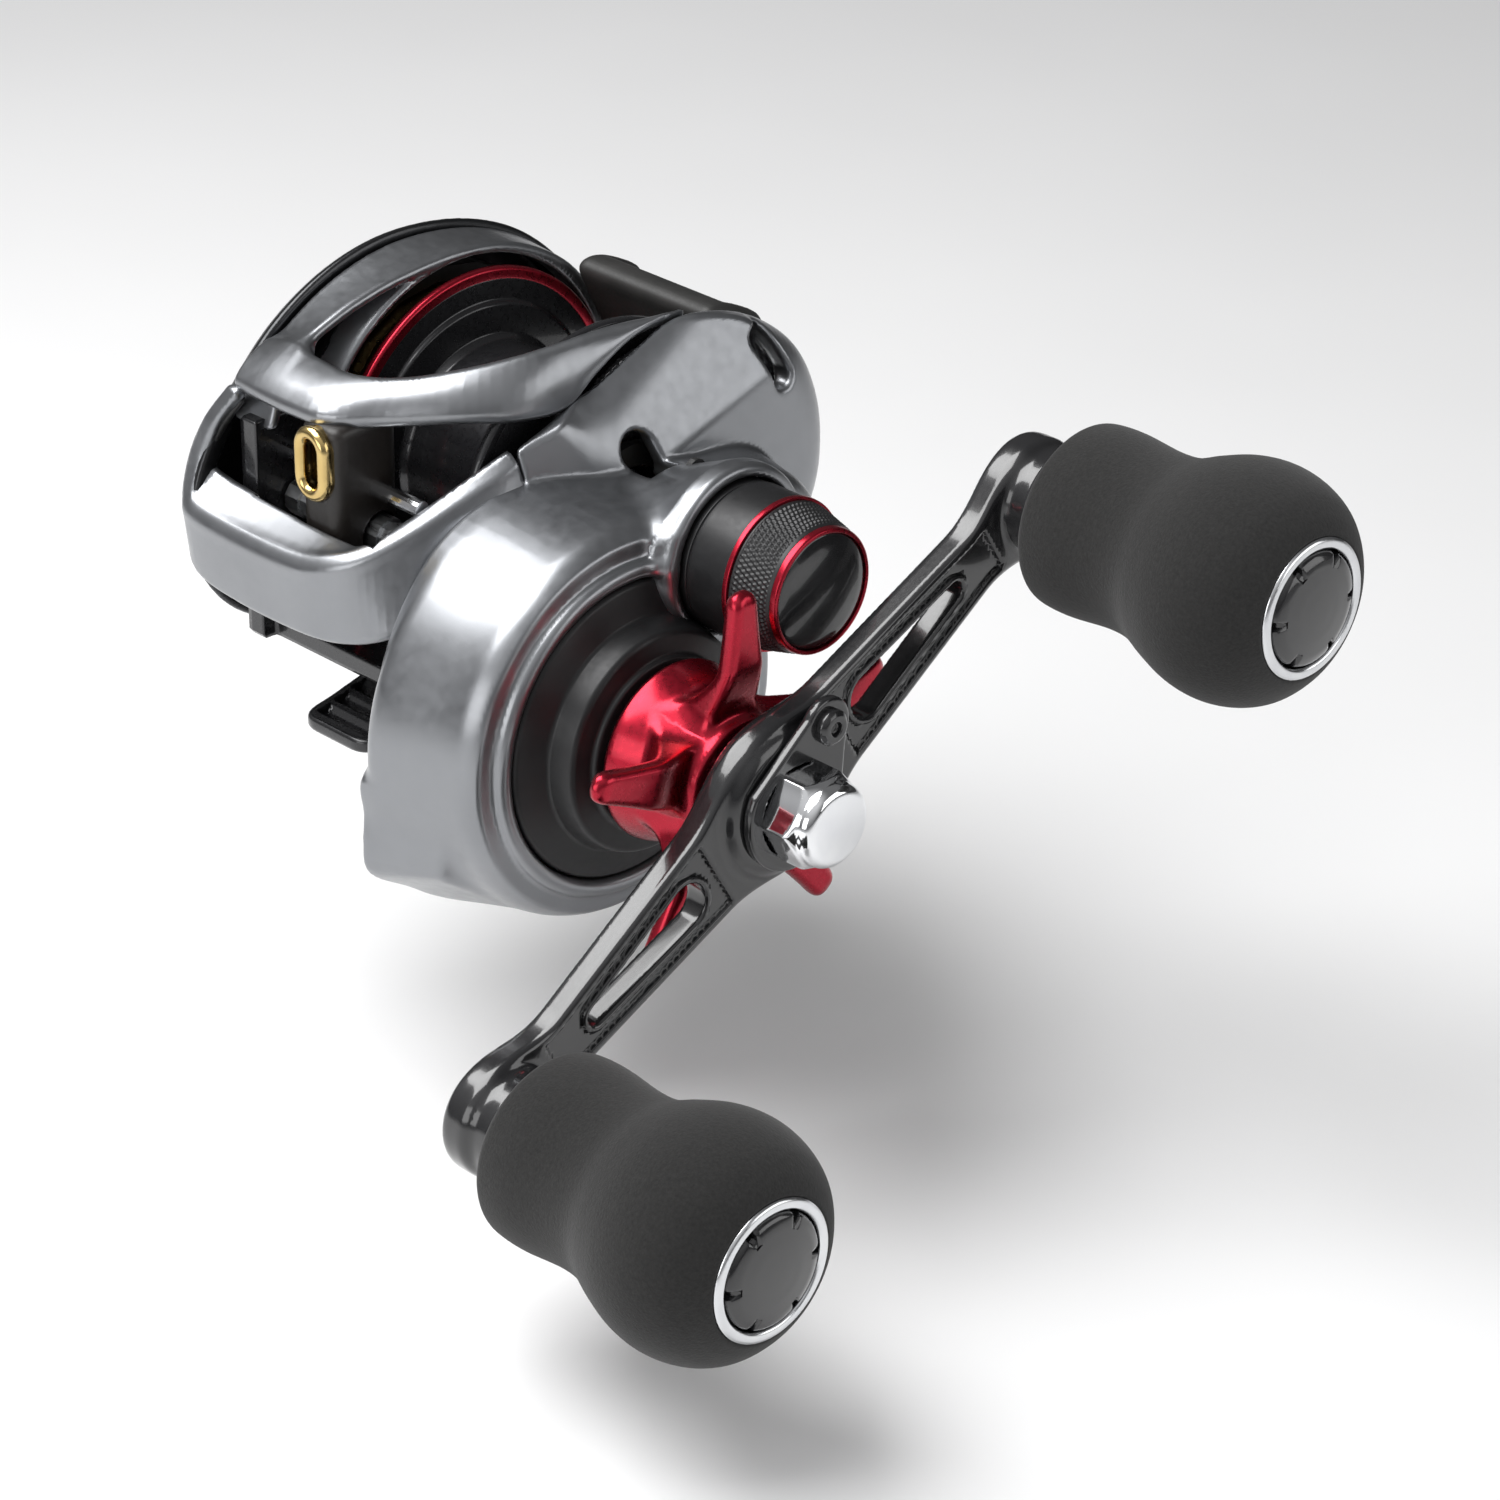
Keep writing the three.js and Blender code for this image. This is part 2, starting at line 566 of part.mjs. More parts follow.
const YOKE_X = [26.8, 27.6];
const yokePost = (degrees) => offset(SPOOL_AXIS, 8, degrees);
function yokeSolid() {
  const [x0, x1] = YOKE_X;
  const across = slab(belt([[...yokePost(78), 1.5], [...yokePost(258), 1.5]], 14), x0, x1);
  return cut(join(across, rod(4.6, x0, x1)), rod(2.8, x0 - 1, x1 + 1));
}
piece("clutch_yoke", yokeSolid(), blackPlastic);
piece("clutch_cam", cut(
  join(tube(5.6, 8.6, 16.4, 17.8, SPOOL_AXIS, 24), box([16.4, 17.8], [7, 13.6], [26, 29])),
  rod(5.6, 10, 20, SPOOL_AXIS, 24),
), blackPlastic);
for (const [side, degrees] of [["upper", 78], ["lower", 258]]) {
  piece(`clutch_spring_${side}`, tube(0.6, 1.2, 29.3, 31.2, yokePost(degrees), 10), steel);
}

// ---------- Cast control ----------

const CAP_FACE_X = 50.6;
const capProfile = [
  [38.2, 2.2], [37, 8.4], [37, 9.7], [44.4, 9.7], [48.6, 9], [50.2, 8.4], [CAP_FACE_X, 7.9],
  [CAP_FACE_X, 7.1], [49.4, 7.1], [49.4, 0], [43.2, 0], [43.2, 2.2], [38.2, 2.2],
];
piece("cast_control_cap", turned(capProfile, SPOOL_AXIS, 22), blackMetal);
piece("cast_control_inlay", turned([
  [49.7, 0], [49.7, 6.8], [50.6, 6.8], [51.2, 4.6], [51.5, 2.4], [51.5, 0],
], SPOOL_AXIS, 24), blackPlastic);
piece("cast_control_shim", rod(2, 41.9, 42.9, SPOOL_AXIS, 16), brass);

// ---------- Level wind ----------

const wormProfile = [
  [-16.4, 0], [-16.4, 1.9], [-14.2, 1.9], [-14.2, 2.5], [8.3, 2.5], [8.3, 1.9], [14, 1.9],
  [14, 1.7], [18.6, 1.7], [18.6, 0],
];
// Crossing helical grooves are shown as evenly spaced ring grooves.
const wormGrooves = [];
for (let x = -11.8; x < 7; x += 5) {
  wormGrooves.push(tube(2.05, 3, x, x + 1.6, WORM_AXIS, 10));
}
piece("worm_shaft", cut(turned(wormProfile, WORM_AXIS, 10), ...wormGrooves), steel);
piece("guide_rod", rod(1.1, -16.4, 10.2, ROD_AXIS, 14), chrome);

const GUIDE_X = -2;
function ovalOutline(y, z, halfWidth, halfHeight) {
  const shape = new THREE.Shape();
  const straight = halfHeight - halfWidth;
  shape.absarc(y, z + straight, halfWidth, 0, Math.PI, false);
  shape.absarc(y, z - straight, halfWidth, Math.PI, 2 * Math.PI, false);
  shape.closePath();
  return shape;
}

// An outline drawn in (x, z) at the front, extruded along -Y from y1 to y0.
function frontal(shape, y0, y1, curveSegments = 6) {
  const geometry = new THREE.ExtrudeGeometry(shape, {
    depth: y1 - y0,
    bevelEnabled: false,
    curveSegments,
  });
  geometry.rotateX(Math.PI / 2);
  geometry.translate(0, y1, 0);
  return toSolid(geometry);
}

const RING_CENTRE_Z = 37.4;
const carrier = join(
  box([GUIDE_X - 3.6, GUIDE_X + 3.6], [-34.2, -28.6], [29.4, 42.4]),
  box([GUIDE_X - 3.6, GUIDE_X + 3.6], [-31.2, -23.9], [22.6, 33]),
);
piece("line_guide", cut(
  carrier,
  rod(2.8, -12, 8, WORM_AXIS, 20),
  rod(1.4, -12, 8, ROD_AXIS, 14),
  frontal(ovalOutline(GUIDE_X, RING_CENTRE_Z, 2.5, 4.1), -36, -30.7),
  frontal(ovalOutline(GUIDE_X, RING_CENTRE_Z, 1.6, 2.9), -36, -20),
  turnedDown(1.3, [GUIDE_X, WORM_AXIS[0]], 20, 24.8),
), blackPlastic);
piece("guide_ring", cut(
  join(
    frontal(ovalOutline(GUIDE_X, RING_CENTRE_Z, 3.3, 4.9), -35.6, -34.5),
    frontal(ovalOutline(GUIDE_X, RING_CENTRE_Z, 2.2, 3.8), -35.6, -31.1),
  ),
  frontal(ovalOutline(GUIDE_X, RING_CENTRE_Z, 1.5, 3.1), -37, -24),
), goldRing);

// A vertical pin or bore at [x, y] between two heights.
function turnedDown(radius, [x, y], z0, z1) {
  const geometry = new THREE.CylinderGeometry(radius, radius, z1 - z0, 14);
  geometry.rotateX(Math.PI / 2);
  geometry.translate(x, y, (z0 + z1) / 2);
  return toSolid(geometry);
}
piece("guide_pawl", turnedDown(1, [GUIDE_X, WORM_AXIS[0]], 22.6, 24.1), brass);
piece("pawl_cap", join(
  turnedDown(2.6, [GUIDE_X, WORM_AXIS[0]], 20.6, 22.2),
  turnedDown(0.9, [GUIDE_X, WORM_AXIS[0]], 22, 22.4),
), blackPlastic);

// ---------- Thumb bar ----------

function thumbBarSolid() {
  const [y, z] = SPOOL_AXIS;
  const inner = 25.3;
  const shape = new THREE.Shape();
  const [from, to] = [47, 14].map(THREE.MathUtils.degToRad);
  shape.absarc(y, z, inner, from, to, true);
  shape.lineTo(27.4, 34);
  shape.lineTo(29, 40.4);
  shape.lineTo(28.4, 43.2);
  shape.lineTo(22.4, 46.4);
  shape.lineTo(18.6, 46.6);
  shape.closePath();
  return slab(shape, -12.5, 12.5);
}
piece("thumb_bar", thumbBarSolid(), greyPlastic);

// ---------- Star drag ----------

function starSolid() {
  const hub = turned([
    [43, 3.8], [43, 8.6], [45, 9.6], [47.6, 8.8], [52.6, 7.2], [54.4, 6], [54.4, 3.8], [43, 3.8],
  ], DRIVE_AXIS, 20);
  const arms = [];
  for (let i = 0; i < STAR_ARMS; i += 1) {
    const profile = polygon([
      [6, 45], [9, 45], [13.4, 47.6], [17, 52.0], [STAR_REACH, 52.2], [STAR_REACH, 54.2],
      [20, 54.4], [13, 53.6], [8, 54], [6, 53],
    ]);
    const geometry = new THREE.ExtrudeGeometry(profile, { depth: 3, bevelEnabled: false });
    geometry.translate(0, 0, -1.5);
    const toReel = new THREE.Matrix4().makeBasis(
      new THREE.Vector3(0, 1, 0),
      new THREE.Vector3(1, 0, 0),
      new THREE.Vector3(0, 0, -1),
    );
    geometry.applyMatrix4(toReel);
    geometry.rotateX(THREE.MathUtils.degToRad(STAR_FIRST_ANGLE + (360 / STAR_ARMS) * i));
    geometry.translate(0, DRIVE_AXIS[0], DRIVE_AXIS[1]);
    arms.push(toSolid(geometry));
  }
  return cut(join(hub, ...arms), rod(3.8, 40, 60, DRIVE_AXIS));
}
piece("star_drag", starSolid(), redMetal);

// ---------- Handle ----------

const knobAxis = (side) => offset(DRIVE_AXIS, HANDLE_THROW * side, HANDLE_ANGLE);
const retainerScrewAxis = offset(DRIVE_AXIS, 10.6, 62);

function handleSolid() {
  const arms = [1, -1].map((side) =>
    slab(belt([[...DRIVE_AXIS, 7.2], [...knobAxis(side), 5]]), HANDLE_BACK_X, HANDLE_FRONT_X));
  const slots = [1, -1].map((side) =>
    slab(belt([
      [...offset(DRIVE_AXIS, side * 15.5, HANDLE_ANGLE), 2.6],
      [...offset(DRIVE_AXIS, side * 32, HANDLE_ANGLE), 1.3],
    ], 12), 50, 70));
  const knobBosses = [1, -1].map((side) => rod(7.6, HANDLE_BACK_X, 64.4, knobAxis(side), 16));
  const knobBores = [1, -1].map((side) => rod(2.3, 50, 70, knobAxis(side), 14));
  return cut(
    join(
      ...arms,
      rod(9.6, HANDLE_BACK_X, 61.6, DRIVE_AXIS, 20),
      rod(2.6, HANDLE_BACK_X, 61.6, retainerScrewAxis, 16),
      ...knobBosses,
    ),
    ...slots,
    ...knobBores,
    rod(3.2, 50, 70, DRIVE_AXIS, 18),
    rod(1.1, 50, 70, retainerScrewAxis, 12),
  );
}
piece("handle_arm", handleSolid(), blackMetal);

piece("nut_retainer", cut(
  slab(belt([[...DRIVE_AXIS, 8.8], [...retainerScrewAxis, 2.4]]), 61.9, 63.3),
  slab(hexagon(DRIVE_AXIS, 10.8), 60, 65),
  rod(1.3, 60, 65, retainerScrewAxis, 12),
), blackMetal);
piece("retainer_screw", join(
  rod(0.9, 58.4, 64, retainerScrewAxis, 12),
  rod(1.9, 63.5, 64.7, retainerScrewAxis, 18),
), steel);

const nutDome = turned([
  [67.6, 0], [67.6, 4.9], [70, 4.73], [NUT_FACE_X - 0.2, 4.3], [NUT_FACE_X, 3], [NUT_FACE_X, 0],
], DRIVE_AXIS, 24);
piece("handle_nut", cut(
  join(slab(hexagon(DRIVE_AXIS, 10), 61.9, 68), nutDome),
  rod(2.5, 60, 66.4, DRIVE_AXIS, 20),
), chrome);

// ---------- Knobs ----------

function knobParts(side, suffix) {
  const axis = knobAxis(side);
  piece(`knob_shaft_${suffix}`, turned([
    [57, 0], [57, 2], [64.8, 2], [64.8, 2.6], [66, 2.6], [66, 2.1], [97.2, 2.1], [97.2, 0],
  ], axis, 16), steel);
  piece(`knob_collar_${suffix}`, tube(2.9, 8.3, 64.8, 66.6, axis, 18), chrome);
  piece(`knob_grip_${suffix}`, turned([
    [KNOB_START_X, 2.4], [KNOB_START_X, 11.6], [72, 11.9], [78, 11.4], [83, 12],
    [88, 14.3], [93.4, BULB_RADIUS], [98.4, 14.2], [102, 11.6], [103.4, 9.2],
    [98.4, 9.2], [98.4, 2.4], [KNOB_START_X, 2.4],
  ], axis, 18), foam);
  piece(`knob_cap_ring_${suffix}`, tube(7.4, 8.8, 98.7, KNOB_RING_X, axis, 18), chrome);
  piece(`knob_cap_${suffix}`, turned([
    [98.7, 0], [98.7, 7.1], [103.6, 7.1], [104.4, 5], [104.8, 0],
  ], axis, 18), blackPlastic);
}
knobParts(1, "upper");
knobParts(-1, "lower");

// ---------- Screws ----------

const screw = (axis, x0, x1, head) =>
  join(rod(1.3, x0, x1, axis, 12), rod(head, x1 - 0.4, x1 + 0.9, axis, 16));
COVER_SCREWS.forEach((axis, i) => {
  const headX = [20.6, 20.6, 30.2][i];
  piece(`cover_screw_${["rear", "top", "lower"][i]}`, screw(axis, 16.2, headX, 1.5), steel);
});

export default reel;
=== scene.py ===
import json
import math

import bmesh
import bpy
import numpy as np
import openvdb
from mathutils import Matrix, Vector

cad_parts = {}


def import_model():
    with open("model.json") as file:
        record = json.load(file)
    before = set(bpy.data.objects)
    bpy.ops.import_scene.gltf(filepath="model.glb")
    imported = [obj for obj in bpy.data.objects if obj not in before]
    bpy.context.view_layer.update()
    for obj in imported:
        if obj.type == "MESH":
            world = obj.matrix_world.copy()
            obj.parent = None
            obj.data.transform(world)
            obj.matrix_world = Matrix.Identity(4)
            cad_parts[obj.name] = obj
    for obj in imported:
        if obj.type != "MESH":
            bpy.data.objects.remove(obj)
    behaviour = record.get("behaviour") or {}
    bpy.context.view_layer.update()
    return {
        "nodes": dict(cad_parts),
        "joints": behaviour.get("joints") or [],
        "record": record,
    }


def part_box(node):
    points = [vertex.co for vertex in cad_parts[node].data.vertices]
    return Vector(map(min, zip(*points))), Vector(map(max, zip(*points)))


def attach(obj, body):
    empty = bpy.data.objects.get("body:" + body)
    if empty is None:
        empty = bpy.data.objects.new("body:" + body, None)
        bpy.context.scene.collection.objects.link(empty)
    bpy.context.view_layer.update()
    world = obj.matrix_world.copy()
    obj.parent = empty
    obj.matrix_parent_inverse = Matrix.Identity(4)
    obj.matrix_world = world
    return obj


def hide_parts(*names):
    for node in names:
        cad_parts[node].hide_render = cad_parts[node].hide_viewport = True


# Lengths in this script are millimetres in the frame of the part, until a mesh is made.
MM = 0.001
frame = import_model()


def node_box(node):
    """Lowest and highest corner of a CAD node, in millimetres."""
    low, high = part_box(node)
    return np.array(low) / MM, np.array(high) / MM


def axis_of(node):
    """The [y, z] of the line along X through the middle of a turned node."""
    low, high = node_box(node)
    return (low[1:] + high[1:]) / 2


SPOOL_AXIS = axis_of("spool")
DRIVE_AXIS = axis_of("gear_cover_disc")
WORM_AXIS = axis_of("worm_shaft")
IDLER_AXIS = axis_of("idler_pin")
KNOB_AXES = {side: axis_of(f"knob_grip_{side}") for side in ("upper", "lower")}
HANDLE_LINE = KNOB_AXES["upper"] - DRIVE_AXIS
HANDLE_THROW = float(np.hypot(*HANDLE_LINE))
ALONG = HANDLE_LINE / HANDLE_THROW
GUIDE_X = float(sum(b[0] for b in node_box("guide_ring")) / 2)
CARRIER_LOW, CARRIER_HIGH = node_box("line_guide")
GUIDE_JOINT = next(joint for joint in frame["joints"] if joint["name"] == "guide_travel")
GUIDE_TRAVEL = [limit / MM for limit in GUIDE_JOINT["range_m"]]
# A point inside the hood, which tells a ribbon which of its sides is the inner one.
HOOD_MIDDLE = (-4, -20, 26)
FAR = 1e9
# A field value that sets no limit when it is met with another field.
FREE = -9

# ---------- Fields: distances in millimetres, negative inside ----------

def fuse(a, b, width):
    """The union of two fields, with a fillet of about this width."""
    step = np.maximum(width - np.abs(a - b), 0) / width
    return np.minimum(a, b) - step * step * width / 4


def meet(a, b, width):
    """The intersection of two fields, with a rounded edge."""
    return -fuse(-a, -b, width)


def carve(a, b, width):
    """The first field with the second cut out of it."""
    return meet(a, -b, width)


def slab(x, low, high):
    """The space between two planes."""
    return np.maximum(low - x, x - high)


def ramp(value, start, end):
    """A smooth step from 0 at start to 1 at end."""
    t = np.clip((value - start) / (end - start), 0, 1)
    return t * t * (3 - 2 * t)


def circle(y, z, centre, radius):
    """A cylinder along X."""
    return np.hypot(y - centre[0], z - centre[1]) - radius


def taper(u, v, start, end, start_radius, end_radius):
    """A flat bar between two points with round ends of two radii."""
    du, dv = end[0] - start[0], end[1] - start[1]
    t = np.clip(((u - start[0]) * du + (v - start[1]) * dv) / (du * du + dv * dv), 0, 1)
    radius = start_radius + (end_radius - start_radius) * t
    return np.hypot(u - start[0] - t * du, v - start[1] - t * dv) - radius


def plane(x, y, z, point, normal):
    """The half space behind a plane."""
    n = np.array(normal, float)
    n /= np.linalg.norm(n)
    return (x - point[0]) * n[0] + (y - point[1]) * n[1] + (z - point[2]) * n[2]


def plane_through(a, b, c):
    """A plane's point and the normal of it that points to +X."""
    normal = np.cross(np.subtract(b, a), np.subtract(c, a))
    return a, normal * np.sign(normal[0])


def spline(points, steps=6, closed=True):
    """Points on a smooth curve through the given points."""
    p = np.array(points, float)
    n = len(p)
    made = []
    for i in range(n if closed else n - 1):
        if closed:
            a, b, c, d = (p[(i + k) % n] for k in (-1, 0, 1, 2))
        else:
            a, b, c, d = (p[min(max(i + k, 0), n - 1)] for k in (-1, 0, 1, 2))
        for t in np.arange(steps) / steps:
            made.append(
                b + 0.5 * t * ((c - a) + t * ((2 * a - 5 * b + 4 * c - d) + t * (3 * b - a - 3 * c + d)))
            )
    if not closed:
        made.append(p[-1])
    return np.array(made)


def outline(points):
    """A field in (u, v) for the inside of a smooth closed curve through the points."""
    corners = spline(points)

    def field(u, v):
        u, v = np.broadcast_arrays(u, v)
        nearest = np.full(u.shape, FAR)
        inside = np.zeros(u.shape, bool)
        for (a, b), (c, d) in zip(corners, np.roll(corners, -1, axis=0)):
            du, dv = c - a, d - b
            t = np.clip(((u - a) * du + (v - b) * dv) / (du * du + dv * dv), 0, 1)
            nearest = np.minimum(nearest, (u - a - t * du) ** 2 + (v - b - t * dv) ** 2)
            if dv:
                inside ^= ((b > v) != (d > v)) & (u < a + (v - b) * du / dv)
        return np.sqrt(nearest) * np.where(inside, -1, 1)

    return field


def unit(vectors):
    return vectors / np.linalg.norm(vectors, axis=1)[:, None]


# Past the end of an inner segment a ribbon's distance grows faster, so that segments meet without beads.
JOINT_STEEPNESS = 6
INSET_NARROWING = 0.75


def ribbon(x, y, z, one_edge, other_edge, half_thickness, crown=0.0, inset=0.0):
    """A smooth strip between two edge curves, with round edges and a crowned face."""
    one = spline(one_edge, 5, closed=False)
    other = spline(other_edge, 5, closed=False)
    middle, reach = (one + other) / 2, (other - one) / 2
    along = np.gradient(middle, axis=0)
    facing = unit(np.cross(along, reach))
    across = unit(reach)
    ends = unit(np.cross(across, facing))
    if inset:
        inward = np.sign((facing * (np.array(HOOD_MIDDLE) - middle)).sum(1))[:, None]
        middle = middle + inset * inward * facing
        reach = reach * INSET_NARROWING
    size = np.linalg.norm(reach, axis=1)
    last = len(middle) - 2
    field = FAR
    for i in range(last + 1):
        off = [c - m for c, m in zip((x, y, z), middle[i])]
        ahead = [c - m for c, m in zip((x, y, z), middle[i + 1])]
        from_start = sum(o * e for o, e in zip(off, ends[i]))
        from_end = -sum(o * e for o, e in zip(ahead, ends[i + 1]))
        t = np.clip(from_start / np.maximum(from_start + from_end, 1e-6), 0, 1)
        t = np.where(from_start + from_end > 1e-6, t, np.where(from_start > 0, 1, 0))
        place = [o - t * d for o, d in zip(off, middle[i + 1] - middle[i])]
        side = sum(p * (g + t * (h - g)) for p, g, h in zip(place, across[i], across[i + 1]))
        high = sum(p * (g + t * (h - g)) for p, g, h in zip(place, facing[i], facing[i + 1]))
        half = size[i] + t * (size[i + 1] - size[i])
        high = high - crown * (1 - np.clip(side / half, -1, 1) ** 2)
        beyond = np.maximum(np.abs(side) - half + half_thickness, 0)
        before = 1 if i == 0 else JOINT_STEEPNESS
        after = 1 if i == last else JOINT_STEEPNESS
        outside = np.maximum(np.maximum(-before * from_start, -after * from_end), 0)
        field = np.minimum(field, np.sqrt(beyond ** 2 + high ** 2 + outside ** 2))
    return field - half_thickness


# ---------- Meshes ----------

def to_object(name, points, faces, material, body, normals=None):
    """A mesh object from points in millimetres, riding on a body."""
    mesh = bpy.data.meshes.new(name)
    mesh.from_pydata((np.asarray(points) * MM).tolist(), [], [tuple(f) for f in faces])
    mesh.update()
    mesh.polygons.foreach_set("use_smooth", [True] * len(mesh.polygons))
    if normals is not None:
        mesh.normals_split_custom_set_from_vertices(normals.tolist())
    piece = bpy.data.objects.new(name, mesh)
    bpy.context.scene.collection.objects.link(piece)
    mesh.materials.append(material)
    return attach(piece, body)


def gradient(field, p, reach):
    """The slope of a field at points, from samples this far to each side."""
    parts = []
    for k in range(3):
        step = np.zeros(3)
        step[k] = reach
        ahead, behind = p + step, p - step
        parts.append((field(*ahead.T) - field(*behind.T)) / (2 * reach))
    return np.stack(parts, axis=1)


SLOPE_REACH = 0.05
NORMAL_REACH = 0.12


def sculpt(name, field, low, high, step, material, body):
    """Meshes a field on a grid, then moves its points onto the true surface."""
    low = np.array(low, float)
    counts = [int(math.ceil((h - l) / step)) + 1 for l, h in zip(low, high)]
    x, y, z = np.ogrid[0:counts[0], 0:counts[1], 0:counts[2]]
    samples = field(low[0] + x * step, low[1] + y * step, low[2] + z * step)
    samples = np.broadcast_to(samples, counts)
    band = 4 * step
    grid = openvdb.FloatGrid(band)
    grid.copyFromArray(np.ascontiguousarray(np.clip(samples, -band, band), np.float32))
    points, _, quads = grid.convertToPolygons(isovalue=0.0, adaptivity=0.0)
    p = low + points.astype(float) * step
    for _ in range(2):
        slope = gradient(field, p, SLOPE_REACH)
        size = np.maximum((slope ** 2).sum(1), 0.2)
        move = -(field(*p.T) / size)[:, None] * slope
        length = np.maximum(np.linalg.norm(move, axis=1), 1e-9)
        p += move * np.minimum(1, 0.6 * step / length)[:, None]
    normals = gradient(field, p, NORMAL_REACH)
    normals /= np.maximum(np.linalg.norm(normals, axis=1), 1e-9)[:, None]
    a, b, c = (p[quads[:, k]] for k in range(3))
    if (np.cross(b - a, c - a) * normals[quads[:, 0]]).sum() < 0:
        quads = quads[:, ::-1]
    return to_object(name, p, quads, material, body, normals)


def rounded(profile, radius, closed=True):
    """The profile with each corner replaced by a short arc."""
    made = []
    n = len(profile)
    p = np.array(profile, float)
    for i in range(n):
        if not closed and i in (0, n - 1):
            made.append(p[i])
            continue
        before, after = p[i - 1] - p[i], p[(i + 1) % n] - p[i]
        back, ahead = np.linalg.norm(before), np.linalg.norm(after)
        cut = min(radius, 0.45 * back, 0.45 * ahead)
        start, end = p[i] + before / back * cut, p[i] + after / ahead * cut
        for t in (0, 0.25, 0.5, 0.75, 1):
            made.append((1 - t) ** 2 * start + 2 * t * (1 - t) * p[i] + t ** 2 * end)
    return np.array(made)


def turned(name, profile, axis, material, body, bevel=0.25, segments=96, wobble=None):
    """A piece turned about X. The profile is [x, radius] points, closed or from axis to axis."""
    open_ends = profile[0][1] == 0
    curve = rounded(profile, bevel, closed=not open_ends)
    turn = 2 * np.pi * np.arange(segments) / segments
    radius = np.repeat(curve[:, 1][:, None], segments, axis=1)
    along = np.repeat(curve[:, 0][:, None], segments, axis=1)
    if wobble is not None:
        radius = wobble(along, radius, turn[None, :])
    points = np.stack(
        [along, axis[0] + radius * np.cos(turn), axis[1] + radius * np.sin(turn)], axis=2
    ).reshape(-1, 3)
    rows = len(curve)
    faces = []
    for i in range(rows - 1 if open_ends else rows):
        j = (i + 1) % rows
        for k in range(segments):
            m = (k + 1) % segments
            faces.append((i * segments + k, j * segments + k, j * segments + m, i * segments + m))
    piece = to_object(name, points, faces, material, body)
    work = bmesh.new()
    work.from_mesh(piece.data)
    bmesh.ops.remove_doubles(work, verts=work.verts, dist=1e-7)
    bmesh.ops.recalc_face_normals(work, faces=work.faces)
    work.to_mesh(piece.data)
    work.free()
    piece.data.set_sharp_from_angle(angle=math.radians(50))
    return piece


# ---------- Materials ----------

class Look:
    """A node material with a Principled shader and short calls for what feeds it."""

    def __init__(self, name):
        self.material = bpy.data.materials.new(name)
        self.material.use_nodes = True
        self.nodes = self.material.node_tree.nodes
        self.links = self.material.node_tree.links
        self.shader = self.nodes["Principled BSDF"]
        self.place = self.nodes.new("ShaderNodeTexCoord").outputs["Object"]

    def set(self, **values):
        for name, value in values.items():
            self.shader.inputs[name.replace("_", " ")].default_value = value

    def feed(self, name, socket):
        self.links.new(socket, self.shader.inputs[name])

    def noise(self, per_mm, detail=3.0, roughness=0.5, stretch=(1, 1, 1)):
        scale = self.nodes.new("ShaderNodeMapping")
        scale.inputs["Scale"].default_value = [s * per_mm / MM for s in stretch]
        self.links.new(self.place, scale.inputs["Vector"])
        made = self.nodes.new("ShaderNodeTexNoise")
        made.inputs["Scale"].default_value = 1.0
        made.inputs["Detail"].default_value = detail
        made.inputs["Roughness"].default_value = roughness
        self.links.new(scale.outputs["Vector"], made.inputs["Vector"])
        return made.outputs["Fac"]

    def cells(self, per_mm):
        made = self.nodes.new("ShaderNodeTexVoronoi")
        made.inputs["Scale"].default_value = per_mm / MM
        self.links.new(self.place, made.inputs["Vector"])
        return made.outputs["Distance"]

    def span(self, socket, low, high, start=0.3, end=0.7):
        made = self.nodes.new("ShaderNodeMapRange")
        made.inputs["From Min"].default_value = start
        made.inputs["From Max"].default_value = end
        made.inputs["To Min"].default_value = low
        made.inputs["To Max"].default_value = high
        self.links.new(socket, made.inputs["Value"])
        return made.outputs["Result"]

    def colours(self, socket, first, second, start=0.3, end=0.7):
        made = self.nodes.new("ShaderNodeValToRGB")
        made.color_ramp.elements[0].position = start
        made.color_ramp.elements[1].position = end
        made.color_ramp.elements[0].color = (*first, 1)
        made.color_ramp.elements[1].color = (*second, 1)
        self.links.new(socket, made.inputs["Fac"])
        return made.outputs["Color"]

    def bump(self, socket, depth_mm, strength=1.0, under=None):
        made = self.nodes.new("ShaderNodeBump")
        made.inputs["Strength"].default_value = strength
        made.inputs["Distance"].default_value = depth_mm * MM
        self.links.new(socket, made.inputs["Height"])
        if under is not None:
            self.links.new(under, made.inputs["Normal"])
        return made.outputs["Normal"]


def silver_paint(name, dark, light):
    """Satin silver lacquer: fine flakes under a clear coat."""
    look = Look(name)
    flakes = look.cells(9.0)
    cloud = look.noise(0.05, 2.0)
    look.set(Metallic=0.92, Coat_Weight=0.35, Coat_Roughness=0.12)
    look.feed("Base Color", look.colours(cloud, dark, light))
    look.feed("Roughness", look.span(look.noise(0.6, 4.0), 0.29, 0.37))
    look.feed("Normal", look.bump(flakes, 0.006, 0.35))
    return look.material


def black_metal():
    """Gloss black lacquer on metal."""
    look = Look("black_metal")
    look.set(Metallic=0.55, Coat_Weight=0.6, Coat_Roughness=0.08)
    look.feed("Base Color", look.colours(look.noise(0.08), (0.016, 0.016, 0.018), (0.024, 0.024, 0.026)))
    look.feed("Roughness", look.span(look.noise(1.5, 4.0), 0.24, 0.36))
    look.feed("Normal", look.bump(look.noise(5.0, 2.0), 0.004, 0.3))
    return look.material


def satin_black():
    """Black anodising."""
    look = Look("satin_black")
    look.set(Metallic=0.4, Coat_Weight=0.15, Coat_Roughness=0.3)
    look.feed("Base Color", look.colours(look.noise(0.1), (0.011, 0.011, 0.012), (0.018, 0.018, 0.019)))
    look.feed("Roughness", look.span(look.noise(1.2, 4.0), 0.36, 0.48))
    look.feed("Normal", look.bump(look.noise(6.0, 2.0), 0.004, 0.4))
    return look.material


